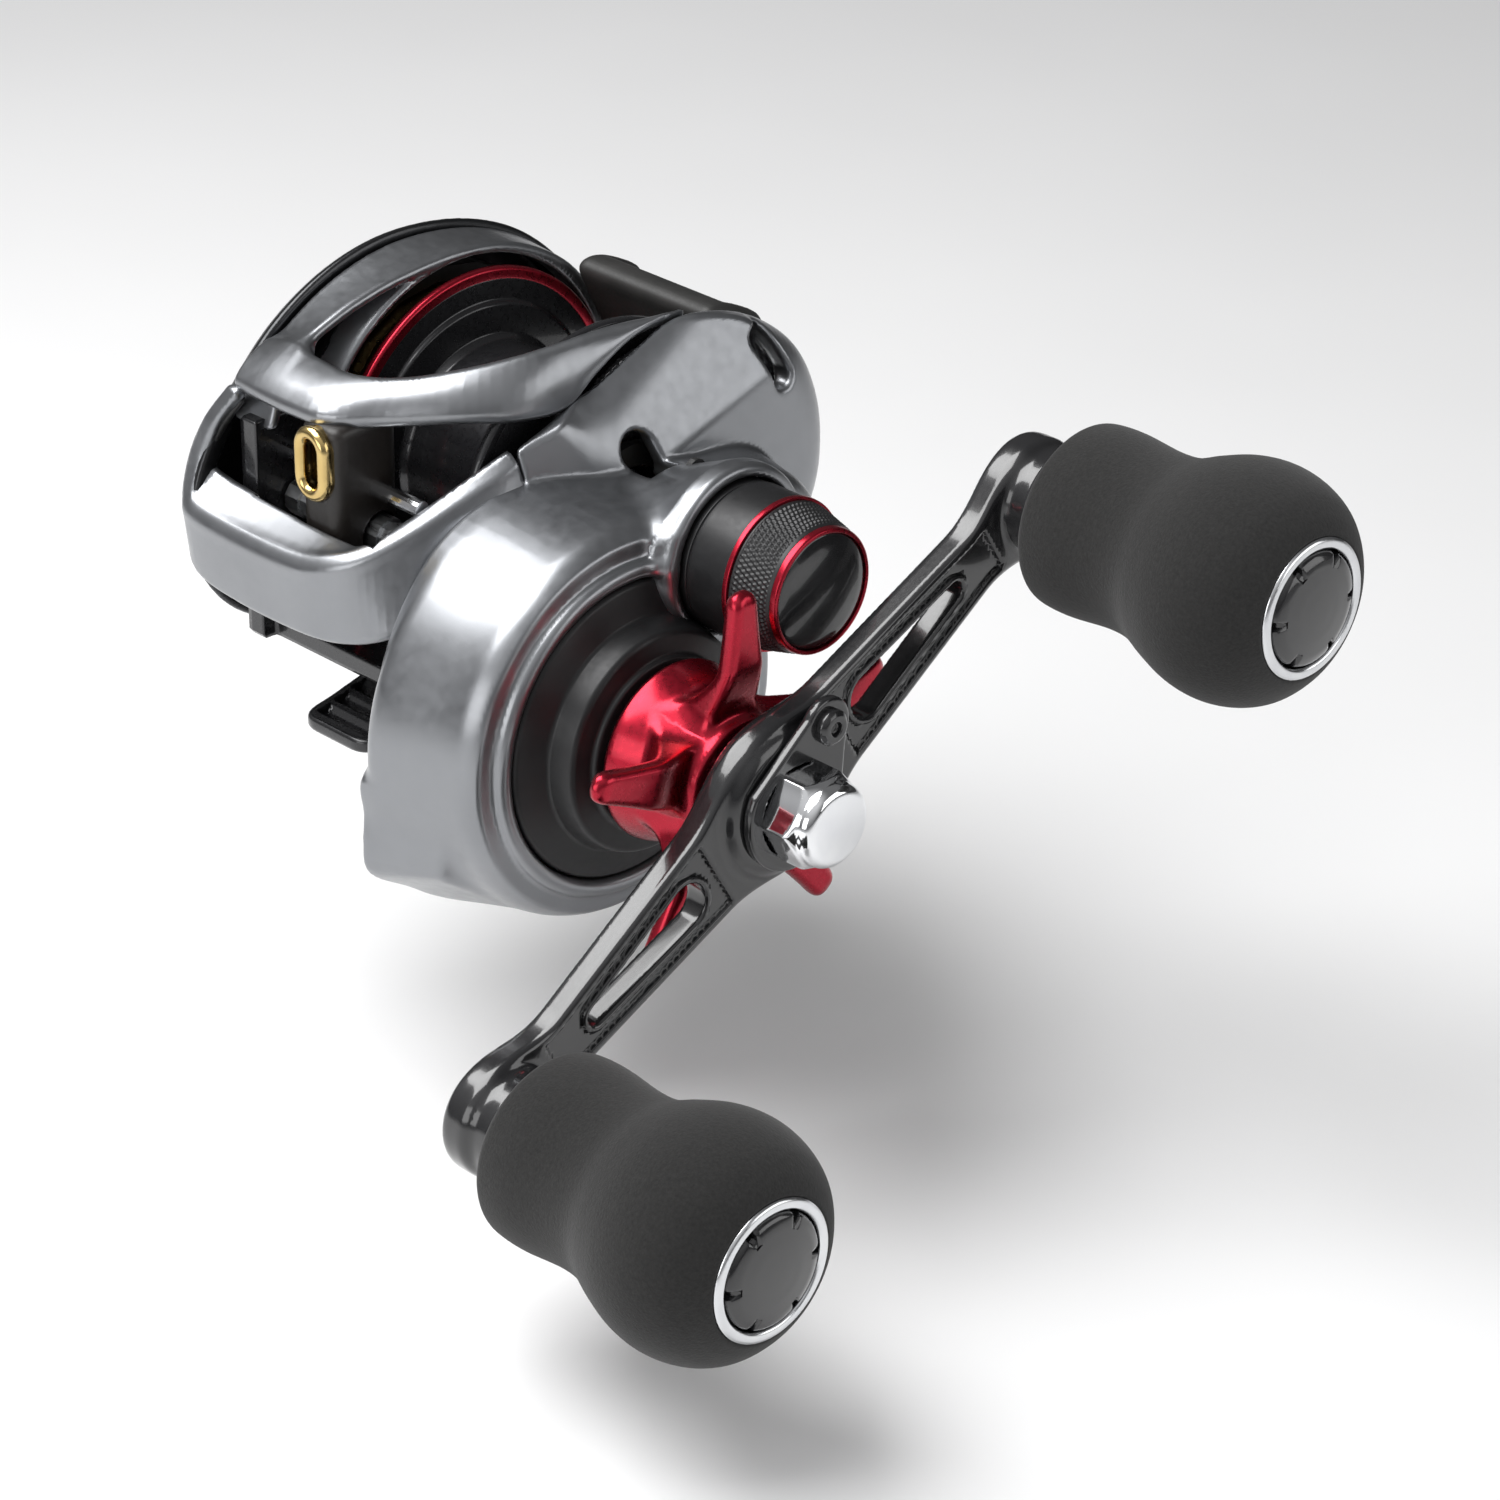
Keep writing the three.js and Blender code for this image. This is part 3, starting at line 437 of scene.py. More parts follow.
def red_metal():
    """Red anodising."""
    look = Look("red_metal")
    look.set(Metallic=0.95, Coat_Weight=0.25, Coat_Roughness=0.15)
    look.feed("Base Color", look.colours(look.noise(0.1), (0.36, 0.010, 0.026), (0.42, 0.013, 0.032)))
    look.feed("Roughness", look.span(look.noise(1.2, 4.0), 0.24, 0.34))
    look.feed("Normal", look.bump(look.noise(6.0, 2.0), 0.002, 0.25))
    return look.material


def bright_metal(name, colour, darker, low, high):
    """A plated or machined metal with faint polishing marks."""
    look = Look(name)
    look.set(Metallic=1.0)
    look.feed("Base Color", look.colours(look.noise(0.3), darker, colour))
    look.feed("Roughness", look.span(look.noise(2.0, 4.0, stretch=(0.2, 1, 1)), low, high))
    look.feed("Normal", look.bump(look.noise(3.0, 3.0, stretch=(0.1, 1, 1)), 0.002, 0.3))
    return look.material


def plastic(name, colour, lighter, low, high, depth, coat=0.0):
    """Moulded plastic with a fine spark-eroded texture."""
    look = Look(name)
    look.set(Coat_Weight=coat, Coat_Roughness=0.06)
    look.feed("Base Color", look.colours(look.noise(0.2), colour, lighter))
    look.feed("Roughness", look.span(look.noise(2.0, 3.0), low, high))
    look.feed("Normal", look.bump(look.noise(6.0, 3.0), depth, 0.6))
    return look.material


def foam():
    """Closed-cell grip foam: a soft dark skin with cut cells in it."""
    look = Look("foam")
    walls = look.cells(3.2)
    coarse = look.noise(2.2, 6.0, 0.65)
    look.set(Sheen_Weight=0.12, Sheen_Roughness=0.6)
    look.shader.inputs["Specular IOR Level"].default_value = 0.25
    look.feed("Base Color", look.colours(coarse, (0.008, 0.0078, 0.0076), (0.022, 0.0215, 0.021)))
    look.feed("Roughness", look.span(coarse, 0.86, 0.98))
    fine = look.bump(coarse, 0.12, 0.55)
    look.feed("Normal", look.bump(walls, 0.05, 0.4, under=fine))
    return look.material


def carbon():
    """Woven carbon cloth, for the drag washer."""
    look = Look("carbon")
    weave = look.nodes.new("ShaderNodeTexChecker")
    weave.inputs["Scale"].default_value = 1.0 / MM
    look.links.new(look.place, weave.inputs["Vector"])
    look.feed("Base Color", look.colours(weave.outputs["Fac"], (0.02, 0.02, 0.02), (0.05, 0.05, 0.052)))
    look.feed("Roughness", look.span(look.noise(1.0), 0.52, 0.66))
    look.feed("Normal", look.bump(weave.outputs["Fac"], 0.05, 0.5))
    return look.material


SILVER = silver_paint("silver_paint", (0.24, 0.247, 0.26), (0.275, 0.283, 0.297))
# A darker copy of the silver paint for the palm plate: painted shade and dark reflection on a silver part.
SILVER_WITH_PAINTED_SHADE = silver_paint("silver_with_painted_shade", (0.035, 0.036, 0.038), (0.045, 0.046, 0.049))
BLACK_METAL = black_metal()
SATIN_BLACK = satin_black()
RED = red_metal()
CHROME = bright_metal("chrome", (0.86, 0.87, 0.88), (0.80, 0.81, 0.83), 0.06, 0.13)
SATIN_CHROME = bright_metal("satin_chrome", (0.72, 0.73, 0.74), (0.66, 0.67, 0.69), 0.16, 0.26)
STEEL = bright_metal("steel", (0.56, 0.57, 0.58), (0.48, 0.49, 0.50), 0.25, 0.40)
BRASS = bright_metal("brass", (0.62, 0.44, 0.17), (0.52, 0.36, 0.14), 0.25, 0.40)
GOLD = bright_metal("gold_ring", (0.64, 0.47, 0.20), (0.55, 0.40, 0.16), 0.14, 0.24)
BLACK_PLASTIC = plastic("black_plastic", (0.010, 0.010, 0.010), (0.018, 0.018, 0.018), 0.40, 0.52, 0.02)
GLOSS_BLACK = plastic("gloss_black", (0.012, 0.012, 0.013), (0.018, 0.018, 0.019), 0.16, 0.22, 0.003, 0.6)
GREY_PLASTIC = plastic("grey_plastic", (0.017, 0.017, 0.016), (0.026, 0.025, 0.024), 0.44, 0.56, 0.02)
FOAM = foam()
BROWN_BLACK = plastic("brown_black", (0.010, 0.008, 0.007), (0.016, 0.013, 0.011), 0.34, 0.46, 0.01)
CARBON = carbon()

CAD_LOOKS = {
    "silver_paint": SILVER,
    "black_metal": BLACK_METAL,
    "red_metal": RED,
    "chrome": CHROME,
    "steel": STEEL,
    "brass": BRASS,
    "gold_ring": GOLD,
    "black_plastic": BLACK_PLASTIC,
    "grey_plastic": GREY_PLASTIC,
    "foam": FOAM,
    "carbon": CARBON,
}
for entry in frame["record"]["subparts"]:
    data = frame["nodes"][entry["node"]].data
    data.materials.clear()
    data.materials.append(CAD_LOOKS[entry["material_slot"]])


def stands_for(piece, slot, *nodes):
    """Hides the CAD nodes that a piece replaces; its material slot is not used."""
    if nodes:
        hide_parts(*nodes)
    return piece


# ---------- Palm side and frame ----------

CREST_X = -20.2
CREST = outline([
    (-39.6, 24), (-37.8, 32), (-31.6, 41), (-24.6, 47.8), (-15.6, 52.6), (-5.5, 54.6), (6, 53.4),
    (16, 49.4), (24, 42.8), (28.8, 35), (30.4, 26), (28.4, 15), (22, 7), (12, 2.2), (0, 1),
    (-12, 2), (-24, 5.2), (-33, 9.8), (-38.2, 16.4),
])
MOUTH = outline([
    (-33, 34), (-30, 43.0), (-26.2, 47.2), (-21.5, 49.3), (-16.8, 50.7), (-10.2, 51.9), (0, 52.4),
    (9.2, 50.8), (17.6, 46.2), (22.8, 40), (25.3, 33), (25.6, 26), (23.6, 17), (18, 9), (8, 3.4),
    (-6, 3.2), (-18, 8), (-27, 17), (-32, 26),
])


PALM_FACE_X = -24.55
PANEL_DEPTH = 0.3


def palm_plate_field(x, y, z):
    edge = CREST(y, z)
    solid = meet(edge, PALM_FACE_X - x, 6.5)
    solid = meet(solid, x - CREST_X + 0.45, 0.9)
    groove = np.hypot(edge + 6.4, x - PALM_FACE_X + 0.05) - 0.55
    panel = np.maximum(edge + 8.5, x - PALM_FACE_X - PANEL_DEPTH)
    solid = carve(carve(solid, groove, 0.3), panel, 0.3)
    return carve(solid, np.maximum(edge + 3, slab(x, -22.6, 0)), 0.3)


# The silver arch starts this far inside the palm plate and ends as the mouth round the spool.
ARCH_INSET = 1.3
ARCH_END_X = -13.2
ARCH_WALL = 1.3
ARCH_OPENING = 24.1


def arch_field(x, y, z):
    share = np.clip((x - CREST_X) / 6.2, 0, 1)
    edge = (CREST(y, z) + ARCH_INSET) * (1 - share) + MOUTH(y, z) * share
    solid = meet(edge, slab(x, CREST_X, ARCH_END_X), 0.8)
    cavity = np.maximum(edge + ARCH_WALL, slab(x, -21.5, 0))
    lip = np.maximum(circle(y, z, SPOOL_AXIS, 24.9 - 0.5 * (x - ARCH_END_X)), -16.6 - x)
    cavity = meet(cavity, -lip, 0.6)
    solid = carve(solid, cavity, 0.5)
    solid = carve(solid, circle(y, z, SPOOL_AXIS, ARCH_OPENING), 0.5)
    leg = np.where(y < -4, 37.0 - z, 32.5 - z)
    return meet(solid, leg, 1.0)


BAR_FRONT = [
    (-18.2, -33.0, 41.6), (-13, -33.8, 42.0), (-7, -33.9, 42.0), (-1.5, -33.1, 42.0),
    (3.4, -28.2, 42.0), (10.6, -21.4, 42.6), (13.8, -15.6, 42.1), (14.5, -8.8, 41.8),
    (14.6, -4, 44.9), (14.6, 1.1, 47.5), (14.6, 6, 48.4), (14.6, 11, 48.1),
]
BAR_REAR = [
    (-18.8, -25.8, 45.4), (-15, -26.0, 46.2), (-9, -26.6, 46.2), (-2.9, -26.6, 46.2),
    (2.6, -23.4, 46.8), (7.8, -18.4, 48.2), (11.4, -12.2, 49.4), (12.9, -6.6, 50.0),
    (13.4, -2, 50.2), (13.6, 2.6, 50.0), (13.7, 7, 49.4), (13.8, 11, 48.5),
]


def bar_field(x, y, z):
    return ribbon(x, y, z, BAR_FRONT, BAR_REAR, 1.0, crown=0.9)


# The room that the spool keeps in the frame.
SPOOL_ROOM_RADIUS = 23.5
SPOOL_ROOM_X = (-13.0, 12.6)


def frame_shell_field(x, y, z):
    joined = fuse(arch_field(x, y, z), bar_field(x, y, z), 3.0)
    room = np.maximum(circle(y, z, SPOOL_AXIS, SPOOL_ROOM_RADIUS), slab(x, *SPOOL_ROOM_X))
    return carve(joined, room, 0.4)


# The palm plate is silver; its darker paint is painted shade and dark reflection.
palm = sculpt(
    "palm_side_shell", palm_plate_field, (-25.4, -41, -0.4), (-19.6, 31.8, 55.6), 0.5, SILVER_WITH_PAINTED_SHADE, "frame"
)
stands_for(palm, "silver_paint", "palm_side_plate")
shell = sculpt("frame_shell", frame_shell_field, (-21, -41, 0), (16, 31.6, 55.6), 0.5, SILVER, "frame")
stands_for(shell, "silver_paint", "frame")

# ---------- Front hood ----------

RIDGE = [
    (-18.8, -33.4, 41.0), (-21.4, -35.2, 37), (-22.7, -36.9, 32), (-22.3, -38.3, 28.2),
    (-20.2, -39.1, 26.4), (-12, -39.3, 25.8), (-1, -39.2, 26.0), (4.6, -38.2, 27.2),
    (8.2, -35.5, 28.9), (11, -30.6, 31.6), (13.3, -23.6, 35.0), (14.7, -18.6, 37.5), (15.4, -13.4, 39.5),
]
HOOD_FOOT = [
    (-20.6, -32.0, 40), (-22.8, -33.6, 35), (-23.3, -35.4, 28), (-22.9, -36.6, 21.5), (-20.6, -38, 17.4),
    (-12, -38.6, 16.4), (-1, -38.6, 16.4), (5.2, -38, 16.8), (10.4, -36.6, 18), (14.0, -33.2, 20),
    (16.2, -28, 23.4), (17.0, -22, 26.8), (17.1, -14, 29.8),
]
SILL_EDGE = [
    (-17.9, -32.9, 40.7), (-20.2, -34.0, 37.8), (-22.0, -34.9, 34.2), (-21.9, -35.0, 31.6),
    (-19.6, -34.4, 30.0), (-12, -34.2, 29.0), (-1.5, -34.2, 28.4), (3.6, -33.8, 28.3),
    (6.4, -32.8, 28.4), (9.4, -29.5, 31.0), (12.1, -22.9, 35.6), (13.5, -17.9, 38.2), (14.4, -12.8, 40.0),
]

# The hood and the gear cover end at two planes with one normal, and the gap between them is the seam.
SEAM_NORMAL = (0.1, 1, 0.18)
HOOD_END = (17, -16.9, 35)
COVER_END = (17, -16.7, 35)
PATH_GAP = 0.5


def guide_path(x, y, z):
    """The space that the line guide sweeps."""
    first = CARRIER_LOW[0] + GUIDE_TRAVEL[0] - PATH_GAP
    last = CARRIER_HIGH[0] + GUIDE_TRAVEL[1] + PATH_GAP
    depth = slab(y, CARRIER_LOW[1] - PATH_GAP, CARRIER_HIGH[1])
    return np.maximum(np.maximum(slab(x, first, last), depth), slab(z, CARRIER_LOW[2], CARRIER_HIGH[2]))


def hood_field(x, y, z):
    front = ribbon(x, y, z, RIDGE, HOOD_FOOT, 1.0)
    sill = ribbon(x, y, z, RIDGE, SILL_EDGE, 0.9)
    joined = carve(fuse(front, sill, 2.2), guide_path(x, y, z), 0.4)
    return meet(joined, plane(x, y, z, HOOD_END, SEAM_NORMAL), 0.5)


def liner_field(x, y, z):
    """The black inner skin of the hood."""
    skin = ribbon(x, y, z, RIDGE, HOOD_FOOT, 0.5, inset=1.3)
    return np.maximum(skin, y + 21)


liner = sculpt(
    "hood_liner", liner_field, (-24.5, -40.4, 14.5), (18.5, -15, 43), 0.5, BLACK_PLASTIC, "frame"
)
stands_for(liner, "black_plastic")
hood = sculpt("hood_shell", hood_field, (-26, -41.4, 14), (19.5, -15, 44.5), 0.5, SILVER, "frame")
stands_for(hood, "silver_paint", "front_hood")

# ---------- Gear side cover ----------

FLANK = outline([
    (-22.5, 30.4), (-20.5, 37.4), (-17.5, 39.3), (-12.6, 41.0), (-8.6, 42.6), (-5.5, 44.5),
    (-2, 46.7), (2, 48.3), (8, 49.2), (14, 48.8), (21, 46.6), (27.6, 42.2), (31.2, 36),
    (32.6, 28.8), (31.6, 21), (27, 13), (19, 5), (6, -2), (-10, -5), (-20, 8),
])
SHOULDER = outline([
    (-17.5, 33.9), (-6, 33.9), (6, 33.6), (13.4, 32.6), (18.6, 29.4), (21.8, 23.4), (20.6, 16.6),
    (15.2, 9.6), (7.6, 1), (2, -8), (-8, -16), (-17, -18), (-30, -14), (-38, -5), (-40, 7),
    (-37, 20), (-29, 30),
])
HEEL = outline([
    (-42.6, 4.0), (-43.2, -0.6), (-44.2, -4.4), (-43.4, -8.8), (-37.6, -12.6), (-30, -16),
    (-26, -6), (-32, 4),
])
DRUM_BACK_CENTRE = DRIVE_AXIS + (-1.2, -1.0)
FACET_TOP = plane_through((14.4, -5.7, 44.2), (14.4, 4.5, 48.7), (17.5, -0.9, 42.7))
FACET_MAIN = plane_through((17.5, -8.6, 40.6), (17.5, 3.2, 44.7), (21.7, 8.8, 38.2))


def flank_field(x, y, z):
    rear = 1.5 + 6.5 * ramp(y, 8, 26)
    solid = meet(FLANK(y, z), x - 22.3, rear)
    # Both facets bend away towards the hood.
    top = plane(x, y, z, *FACET_TOP) - 0.03 * np.maximum(-3 - y, 0) ** 2
    main = plane(x, y, z, *FACET_MAIN) - 0.02 * np.maximum(-4 - y, 0) ** 2
    solid = meet(meet(solid, top, 0.5), main, 0.5)
    solid = meet(solid, plane(x, y, z, (16.7, -17, 35), (0.93, -0.33, 0.18)), 0.8)
    return meet(solid, -plane(x, y, z, COVER_END, SEAM_NORMAL), 0.5)


DRUM_LOW, DRUM_HIGH = 16.2, 33.6
DRUM_RADIUS = 27.0
RIM_RADIUS = 23.6
RIM_FACE_X = 34.7
BOSS_RADIUS = 11.6
BOSS_FACE_X = 36.6


def drum_field(x, y, z):
    lean = ramp(x, 16, 33)
    middle = [a + (b - a) * lean for a, b in zip(DRUM_BACK_CENTRE, DRIVE_AXIS)]
    drum = np.hypot(y - middle[0], z - middle[1]) - (DRUM_RADIUS - 1.4 * lean)
    for edge_width in (3.2, 0.5):
        drum = meet(drum, slab(x, DRUM_LOW, DRUM_HIGH), edge_width)
    heel = meet(HEEL(y, z) + 0.35 * (x - 17), slab(x, DRUM_LOW, 27), 1.0)
    return fuse(drum, heel, 2.6)


def cover_solid(x, y, z):
    """The gear cover without its hollow and holes."""
    shoulder = meet(SHOULDER(y, z) + 0.16 * (x - 24), x - 31.2, 2.6)
    body = fuse(drum_field(x, y, z), shoulder, 2.0)
    rim = np.maximum(circle(y, z, DRIVE_AXIS, RIM_RADIUS), x - RIM_FACE_X)
    body = fuse(body, meet(rim, x - RIM_FACE_X, 1.6), 2.2)
    hollow = np.hypot(circle(y, z, DRIVE_AXIS, 23.2), x - 36.4) - 2.6
    hollow = np.maximum(hollow, -circle(y, z, SPOOL_AXIS, 13.0))
    body = carve(body, hollow, 0.8)
    ridge = np.hypot(circle(y, z, DRIVE_AXIS, 20.9), x - 34.0) - 1.2
    ridge = np.maximum(ridge, -circle(y, z, SPOOL_AXIS, 11.2))
    body = fuse(body, ridge, 0.4)
    boss = circle(y, z, SPOOL_AXIS, np.minimum(6.6 + 0.42 * (x - 22), BOSS_RADIUS))
    body = fuse(body, meet(boss, slab(x, 20, BOSS_FACE_X), 1.2), 3.0)
    return fuse(body, flank_field(x, y, z), 0.6)


COVER_WALL = 2.6
COVER_BACK_X = 14.75
DISC_SEAT_RADIUS = 19.75
CAP_BORE = 9.95


def cover_field(x, y, z):
    outer = cover_solid(x, y, z)
    thick_edge = np.maximum(x - 16.8, -5.0 - FLANK(y, z))
    cavity = np.maximum(outer + COVER_WALL, -thick_edge)
    body = np.maximum(outer, -cavity)
    body = meet(body, COVER_BACK_X - x, 1.3)
    seat = np.maximum(circle(y, z, DRIVE_AXIS, DISC_SEAT_RADIUS), 28 - x)
    seat = np.maximum(seat, -circle(y, z, SPOOL_AXIS, 12.4))
    body = carve(body, seat, 0.4)
    body = carve(body, np.maximum(circle(y, z, SPOOL_AXIS, CAP_BORE), 33 - x), 0.5)
    hole = taper(y, z, (-1.6, 36.0), (-0.4, 33.2), 2.3, 1.7)
    body = carve(body, np.maximum(hole, slab(x, 12, 24.5)), 1.0)
    slot = taper(y, z, (20.0, 44.6), (22.2, 39.4), 1.5, 1.5)
    return carve(body, np.maximum(slot, 15 - x), 1.0)


cover = sculpt("gear_cover_shell", cover_field, (14.2, -45.6, -21), (37.4, 33, 50.4), 0.5, SILVER, "frame")
stands_for(cover, "silver_paint", "gear_side_cover")

# ---------- Inside of the frame and the foot ----------

INSIDE_COVER_X = 18.0
SET_PLATE_X = (14.8, 15.8)


def set_plate_field(x, y, z):
    to_spool = taper(y, z, DRIVE_AXIS, SPOOL_AXIS, 24, 14.6)
    to_worm = taper(y, z, DRIVE_AXIS, WORM_AXIS, 24, 4.4)
    plate = np.minimum(to_spool, to_worm)
    plate = np.maximum(plate, cover_solid(np.full_like(x, INSIDE_COVER_X), y, z) + 3.0)
    above_hood_foot = 27.6 + 0.51 * (y + 14.5) - z
    plate = np.maximum(plate, -np.maximum(above_hood_foot, y + 14.5))
    plate = np.maximum(plate, slab(x, *SET_PLATE_X))
    for centre, radius in ((SPOOL_AXIS, 5.4), (DRIVE_AXIS, 4.6), (WORM_AXIS, 2.8), (IDLER_AXIS, 1.4)):
        plate = np.maximum(plate, -circle(y, z, centre, radius))
    return plate


plate = sculpt("inner_plate", set_plate_field, (14.2, -42, -18), (16.4, 16, 43), 0.4, STEEL, "frame")
stands_for(plate, "steel", "set_plate")


def block(x, y, z, low, high):
    across = np.maximum(slab(x, low[0], high[0]), slab(y, low[1], high[1]))
    return np.maximum(across, slab(z, low[2], high[2]))


# The lower cross bar, the left post and the two posts of the level-wind bracket.
CORE_BLOCKS = (
    ((-17.6, -31.4, 8.6), (14.2, -17, 11)), ((-17.6, -33.4, 8.6), (-14.6, -23.4, 38.4)),
    ((8.8, -25.8, 8.6), (13.6, -24.2, 30)), ((8.8, -33.0, 8.6), (10.4, -24.2, 31)),
)


CRADLE_RADIUS = 25.6
CRADLE_TOP_Z = 12
LEFT_RING_RADIUS = 26.6
CORE_BORE = 23.8
WALL_X = (13.0, 14.2)


def frame_core_field(x, y, z):
    lower = np.maximum(circle(y, z, SPOOL_AXIS, CRADLE_RADIUS), z - CRADLE_TOP_Z)
    cradle = np.maximum(lower, slab(x, -17.4, 14.0))
    left = np.maximum(circle(y, z, SPOOL_AXIS, LEFT_RING_RADIUS), slab(x, -20.8, -14.4))
    left = np.maximum(left, np.where(y < 0, z - 39, z - 33.5))
    body = carve(np.minimum(cradle, left), circle(y, z, SPOOL_AXIS, CORE_BORE), 0.5)
    wall = np.minimum(circle(y, z, SPOOL_AXIS, 23.9), circle(y, z, DRIVE_AXIS, 23.5))
    wall = np.maximum(np.maximum(wall, slab(x, *WALL_X)), -24.4 - y)
    wall = np.maximum(wall, np.where(z > 20, FLANK(y, z) + 3.0, FREE))
    wall = np.maximum(wall, np.where(y < -4, z - 37.5, FREE))
    body = np.minimum(body, wall)
    for low, high in CORE_BLOCKS:
        body = fuse(body, block(x, y, z, low, high), 0.6)
    return np.maximum(body, -np.maximum(circle(y, z, SPOOL_AXIS, 5.2), 12.4 - x))


FOOT_HALF_WIDTH = 8.2
FOOT_Y = (-35, 33)
FOOT_HEIGHT = 3.4
FOOT_RIB_PITCH = 3.2
FOOT_RIB_DEPTH = 0.45


def foot_field(x, y, z):
    half = FOOT_HALF_WIDTH - 1.9 * ramp(np.abs(y + 1), 13, 34)
    plan = meet(np.abs(x) - half, slab(y, *FOOT_Y), 3.0)
    top = z - FOOT_HEIGHT + 1.4 * ramp(np.abs(y + 1), 20, 34)
    solid = meet(plan, np.maximum(top, -z), 0.7)
    rib = FOOT_RIB_DEPTH * np.cos(2 * np.pi * y / FOOT_RIB_PITCH) - 0.1
    ribbed = np.maximum(np.abs(x) - half + 1.5, slab(y, -33.4, -17))
    return np.maximum(solid, -np.maximum(ribbed, -top - 0.7 - rib))


core = sculpt(
    "frame_core", frame_core_field, (-21.4, -34.2, -0.2), (15, 27.6, 54), 0.6, BLACK_METAL, "frame"
)
stands_for(core, "black_metal")
foot = sculpt("reel_foot", foot_field, (-9, -36, -0.6), (9, 34, 4.4), 0.45, BLACK_METAL, "frame")
stands_for(foot, "black_metal")

# ---------- Spool, cover disc and cast control cap ----------

SPOOL_PROFILE = [
    (-12.2, 3), (-12.2, 21.6), (-11.0, 21.6), (-10.8, 18.7), (-10.2, 18.4), (-9.8, 14.6), (-8.8, 14),
    (8.8, 14), (9.8, 14.6), (10.2, 18.4), (10.8, 18.7), (11.0, 21.6), (12.2, 21.6), (12.2, 3),
]
spool = turned("spool_body", SPOOL_PROFILE, SPOOL_AXIS, BLACK_METAL, "spool", 0.3)
stands_for(spool, "black_metal", "spool")
for side, sign in (("palm", -1), ("handle", 1)):
    rim = [(sign * 12.3, 21.4), (sign * 12.3, 22.7), (sign * 11.9, 23), (sign * 11.2, 23),
           (sign * 10.9, 22.7), (sign * 10.9, 21.4)]
    paint, slot = (RED, "red_metal") if side == "palm" else (BLACK_METAL, "black_metal")
    stands_for(turned(f"spool_rim_{side}", rim, SPOOL_AXIS, paint, "spool", 0.2), slot)

DISC_PROFILE = [
    (31.6, 9.2), (33.0, 19.5), (34.3, 19.6), (34.8, 19.2), (35.3, 17.6), (35.9, 15.5), (36.2, 15.2),
    (37.4, 14.9), (39.0, 14.5), (39.4, 14.0), (39.7, 11.6), (40.3, 11.3), (40.4, 10.6), (40.4, 9.2),
]
disc = turned("cover_disc", DISC_PROFILE, DRIVE_AXIS, SATIN_BLACK, "frame", 0.3)
stands_for(disc, "black_metal", "gear_cover_disc")


KNURLS_ROUND = 84
KNURL_SLANT = 5.0
KNURL_DEPTH = 0.06


def knurled(along, radius, turn):
    """Two crossed sets of fine ridges in the gripped band of the cap."""
    zone = (along > 44.8) & (along < 49.6) & (radius > 7.8)
    phase = KNURLS_ROUND * turn + KNURL_SLANT * along
    other = KNURLS_ROUND * turn - KNURL_SLANT * along
    return radius + np.where(zone, KNURL_DEPTH * (np.cos(phase) + np.cos(other)) - 0.05, 0)


def steps_between(start, end, count):
    """Evenly spaced points on a line."""
    t = np.linspace(0, 1, count)
    return [(start[0] + (end[0] - start[0]) * k, start[1] + (end[1] - start[1]) * k) for k in t]


CAP_PROFILE = [
    (37, 0), (37, 9.3), (37.5, 9.7), (43.7, 9.75), (43.8, 9.3), (44.4, 9.3), (44.5, 9.55),
    *steps_between((44.8, 9.5), (49.6, 8.35), 24), (50.2, 8.2), (50.3, 7.9), (50.3, 7.2), (50.2, 0),
]
CAP_SKIRT = [(33.8, 8.5), (33.8, 9.6), (37.2, 9.6), (37.2, 8.5)]
CAP_BAND = [(43.75, 9.2), (43.75, 9.95), (44.45, 9.9), (44.45, 9.2)]
CAP_RIM = [(50.0, 7.5), (50.0, 8.2), (50.9, 8.1), (51.1, 7.9), (51.1, 7.5)]
CAP_DOME = [(50, 0), (50, 7.5), (50.8, 7.5), (51.1, 6.4), (51.35, 4.2), (51.5, 2), (51.5, 0)]
cap = turned("cap_body", CAP_PROFILE, SPOOL_AXIS, SATIN_BLACK, "cap", 0.12, 420, knurled)
stands_for(cap, "black_metal", "cast_control_cap")
stands_for(turned("cap_skirt", CAP_SKIRT, SPOOL_AXIS, SATIN_BLACK, "cap", 0.2), "black_metal")
stands_for(turned("cap_band", CAP_BAND, SPOOL_AXIS, RED, "cap", 0.1), "red_metal")
stands_for(turned("cap_rim", CAP_RIM, SPOOL_AXIS, RED, "cap", 0.15), "red_metal")
dome = turned("cap_dome", CAP_DOME, SPOOL_AXIS, GLOSS_BLACK, "cap", 0.8)
stands_for(dome, "black_metal", "cast_control_inlay")

# ---------- Star drag ----------

STAR_ARMS = 5
STAR_FIRST = math.radians(90)
STAR_REACH = 25.5
STAR_X = (41.6, 54.2)
STAR_BORE = 6.4


def star_field(x, y, z):
    dy, dz = y - DRIVE_AXIS[0], z - DRIVE_AXIS[1]
    radius = np.hypot(dy, dz)
    cone = radius - (11.8 - 3.6 * ramp(x, 41.0, 52.5))
    body = meet(cone, slab(x, *STAR_X), 0.8)
    arms = FAR
    # Past the cap's rim the arms lie beyond the cap's end, so the star turns clear of it.
    for k in range(STAR_ARMS):
        turn = STAR_FIRST + 2 * math.pi * k / STAR_ARMS
        u = dy * math.cos(turn) + dz * math.sin(turn)
        v = -dy * math.sin(turn) + dz * math.cos(turn)
        half = 1.95 + 2.7 * (1 - np.clip((u - 6) / 18, 0, 1)) ** 1.3
        centre = 48.0 + 5.4 * ramp(u, 5, 16)
        thick = 1.35 + 2.0 * (1 - ramp(u, 6, 15))
        arm = meet(np.abs(v) - half, np.abs(x - centre) - thick, 1.3)
        arm = meet(arm, np.maximum(u - STAR_REACH, -u), 2.4)
        arms = np.minimum(arms, arm)
    body = fuse(body, arms, 2.4)
    return np.maximum(body, STAR_BORE - radius)


STAR_BOX = 26.4
star = sculpt(
    "star_wheel", star_field, (41, *(DRIVE_AXIS - STAR_BOX)), (55.2, *(DRIVE_AXIS + STAR_BOX)),
    0.5, RED, "star",
)
stands_for(star, "red_metal", "star_drag")

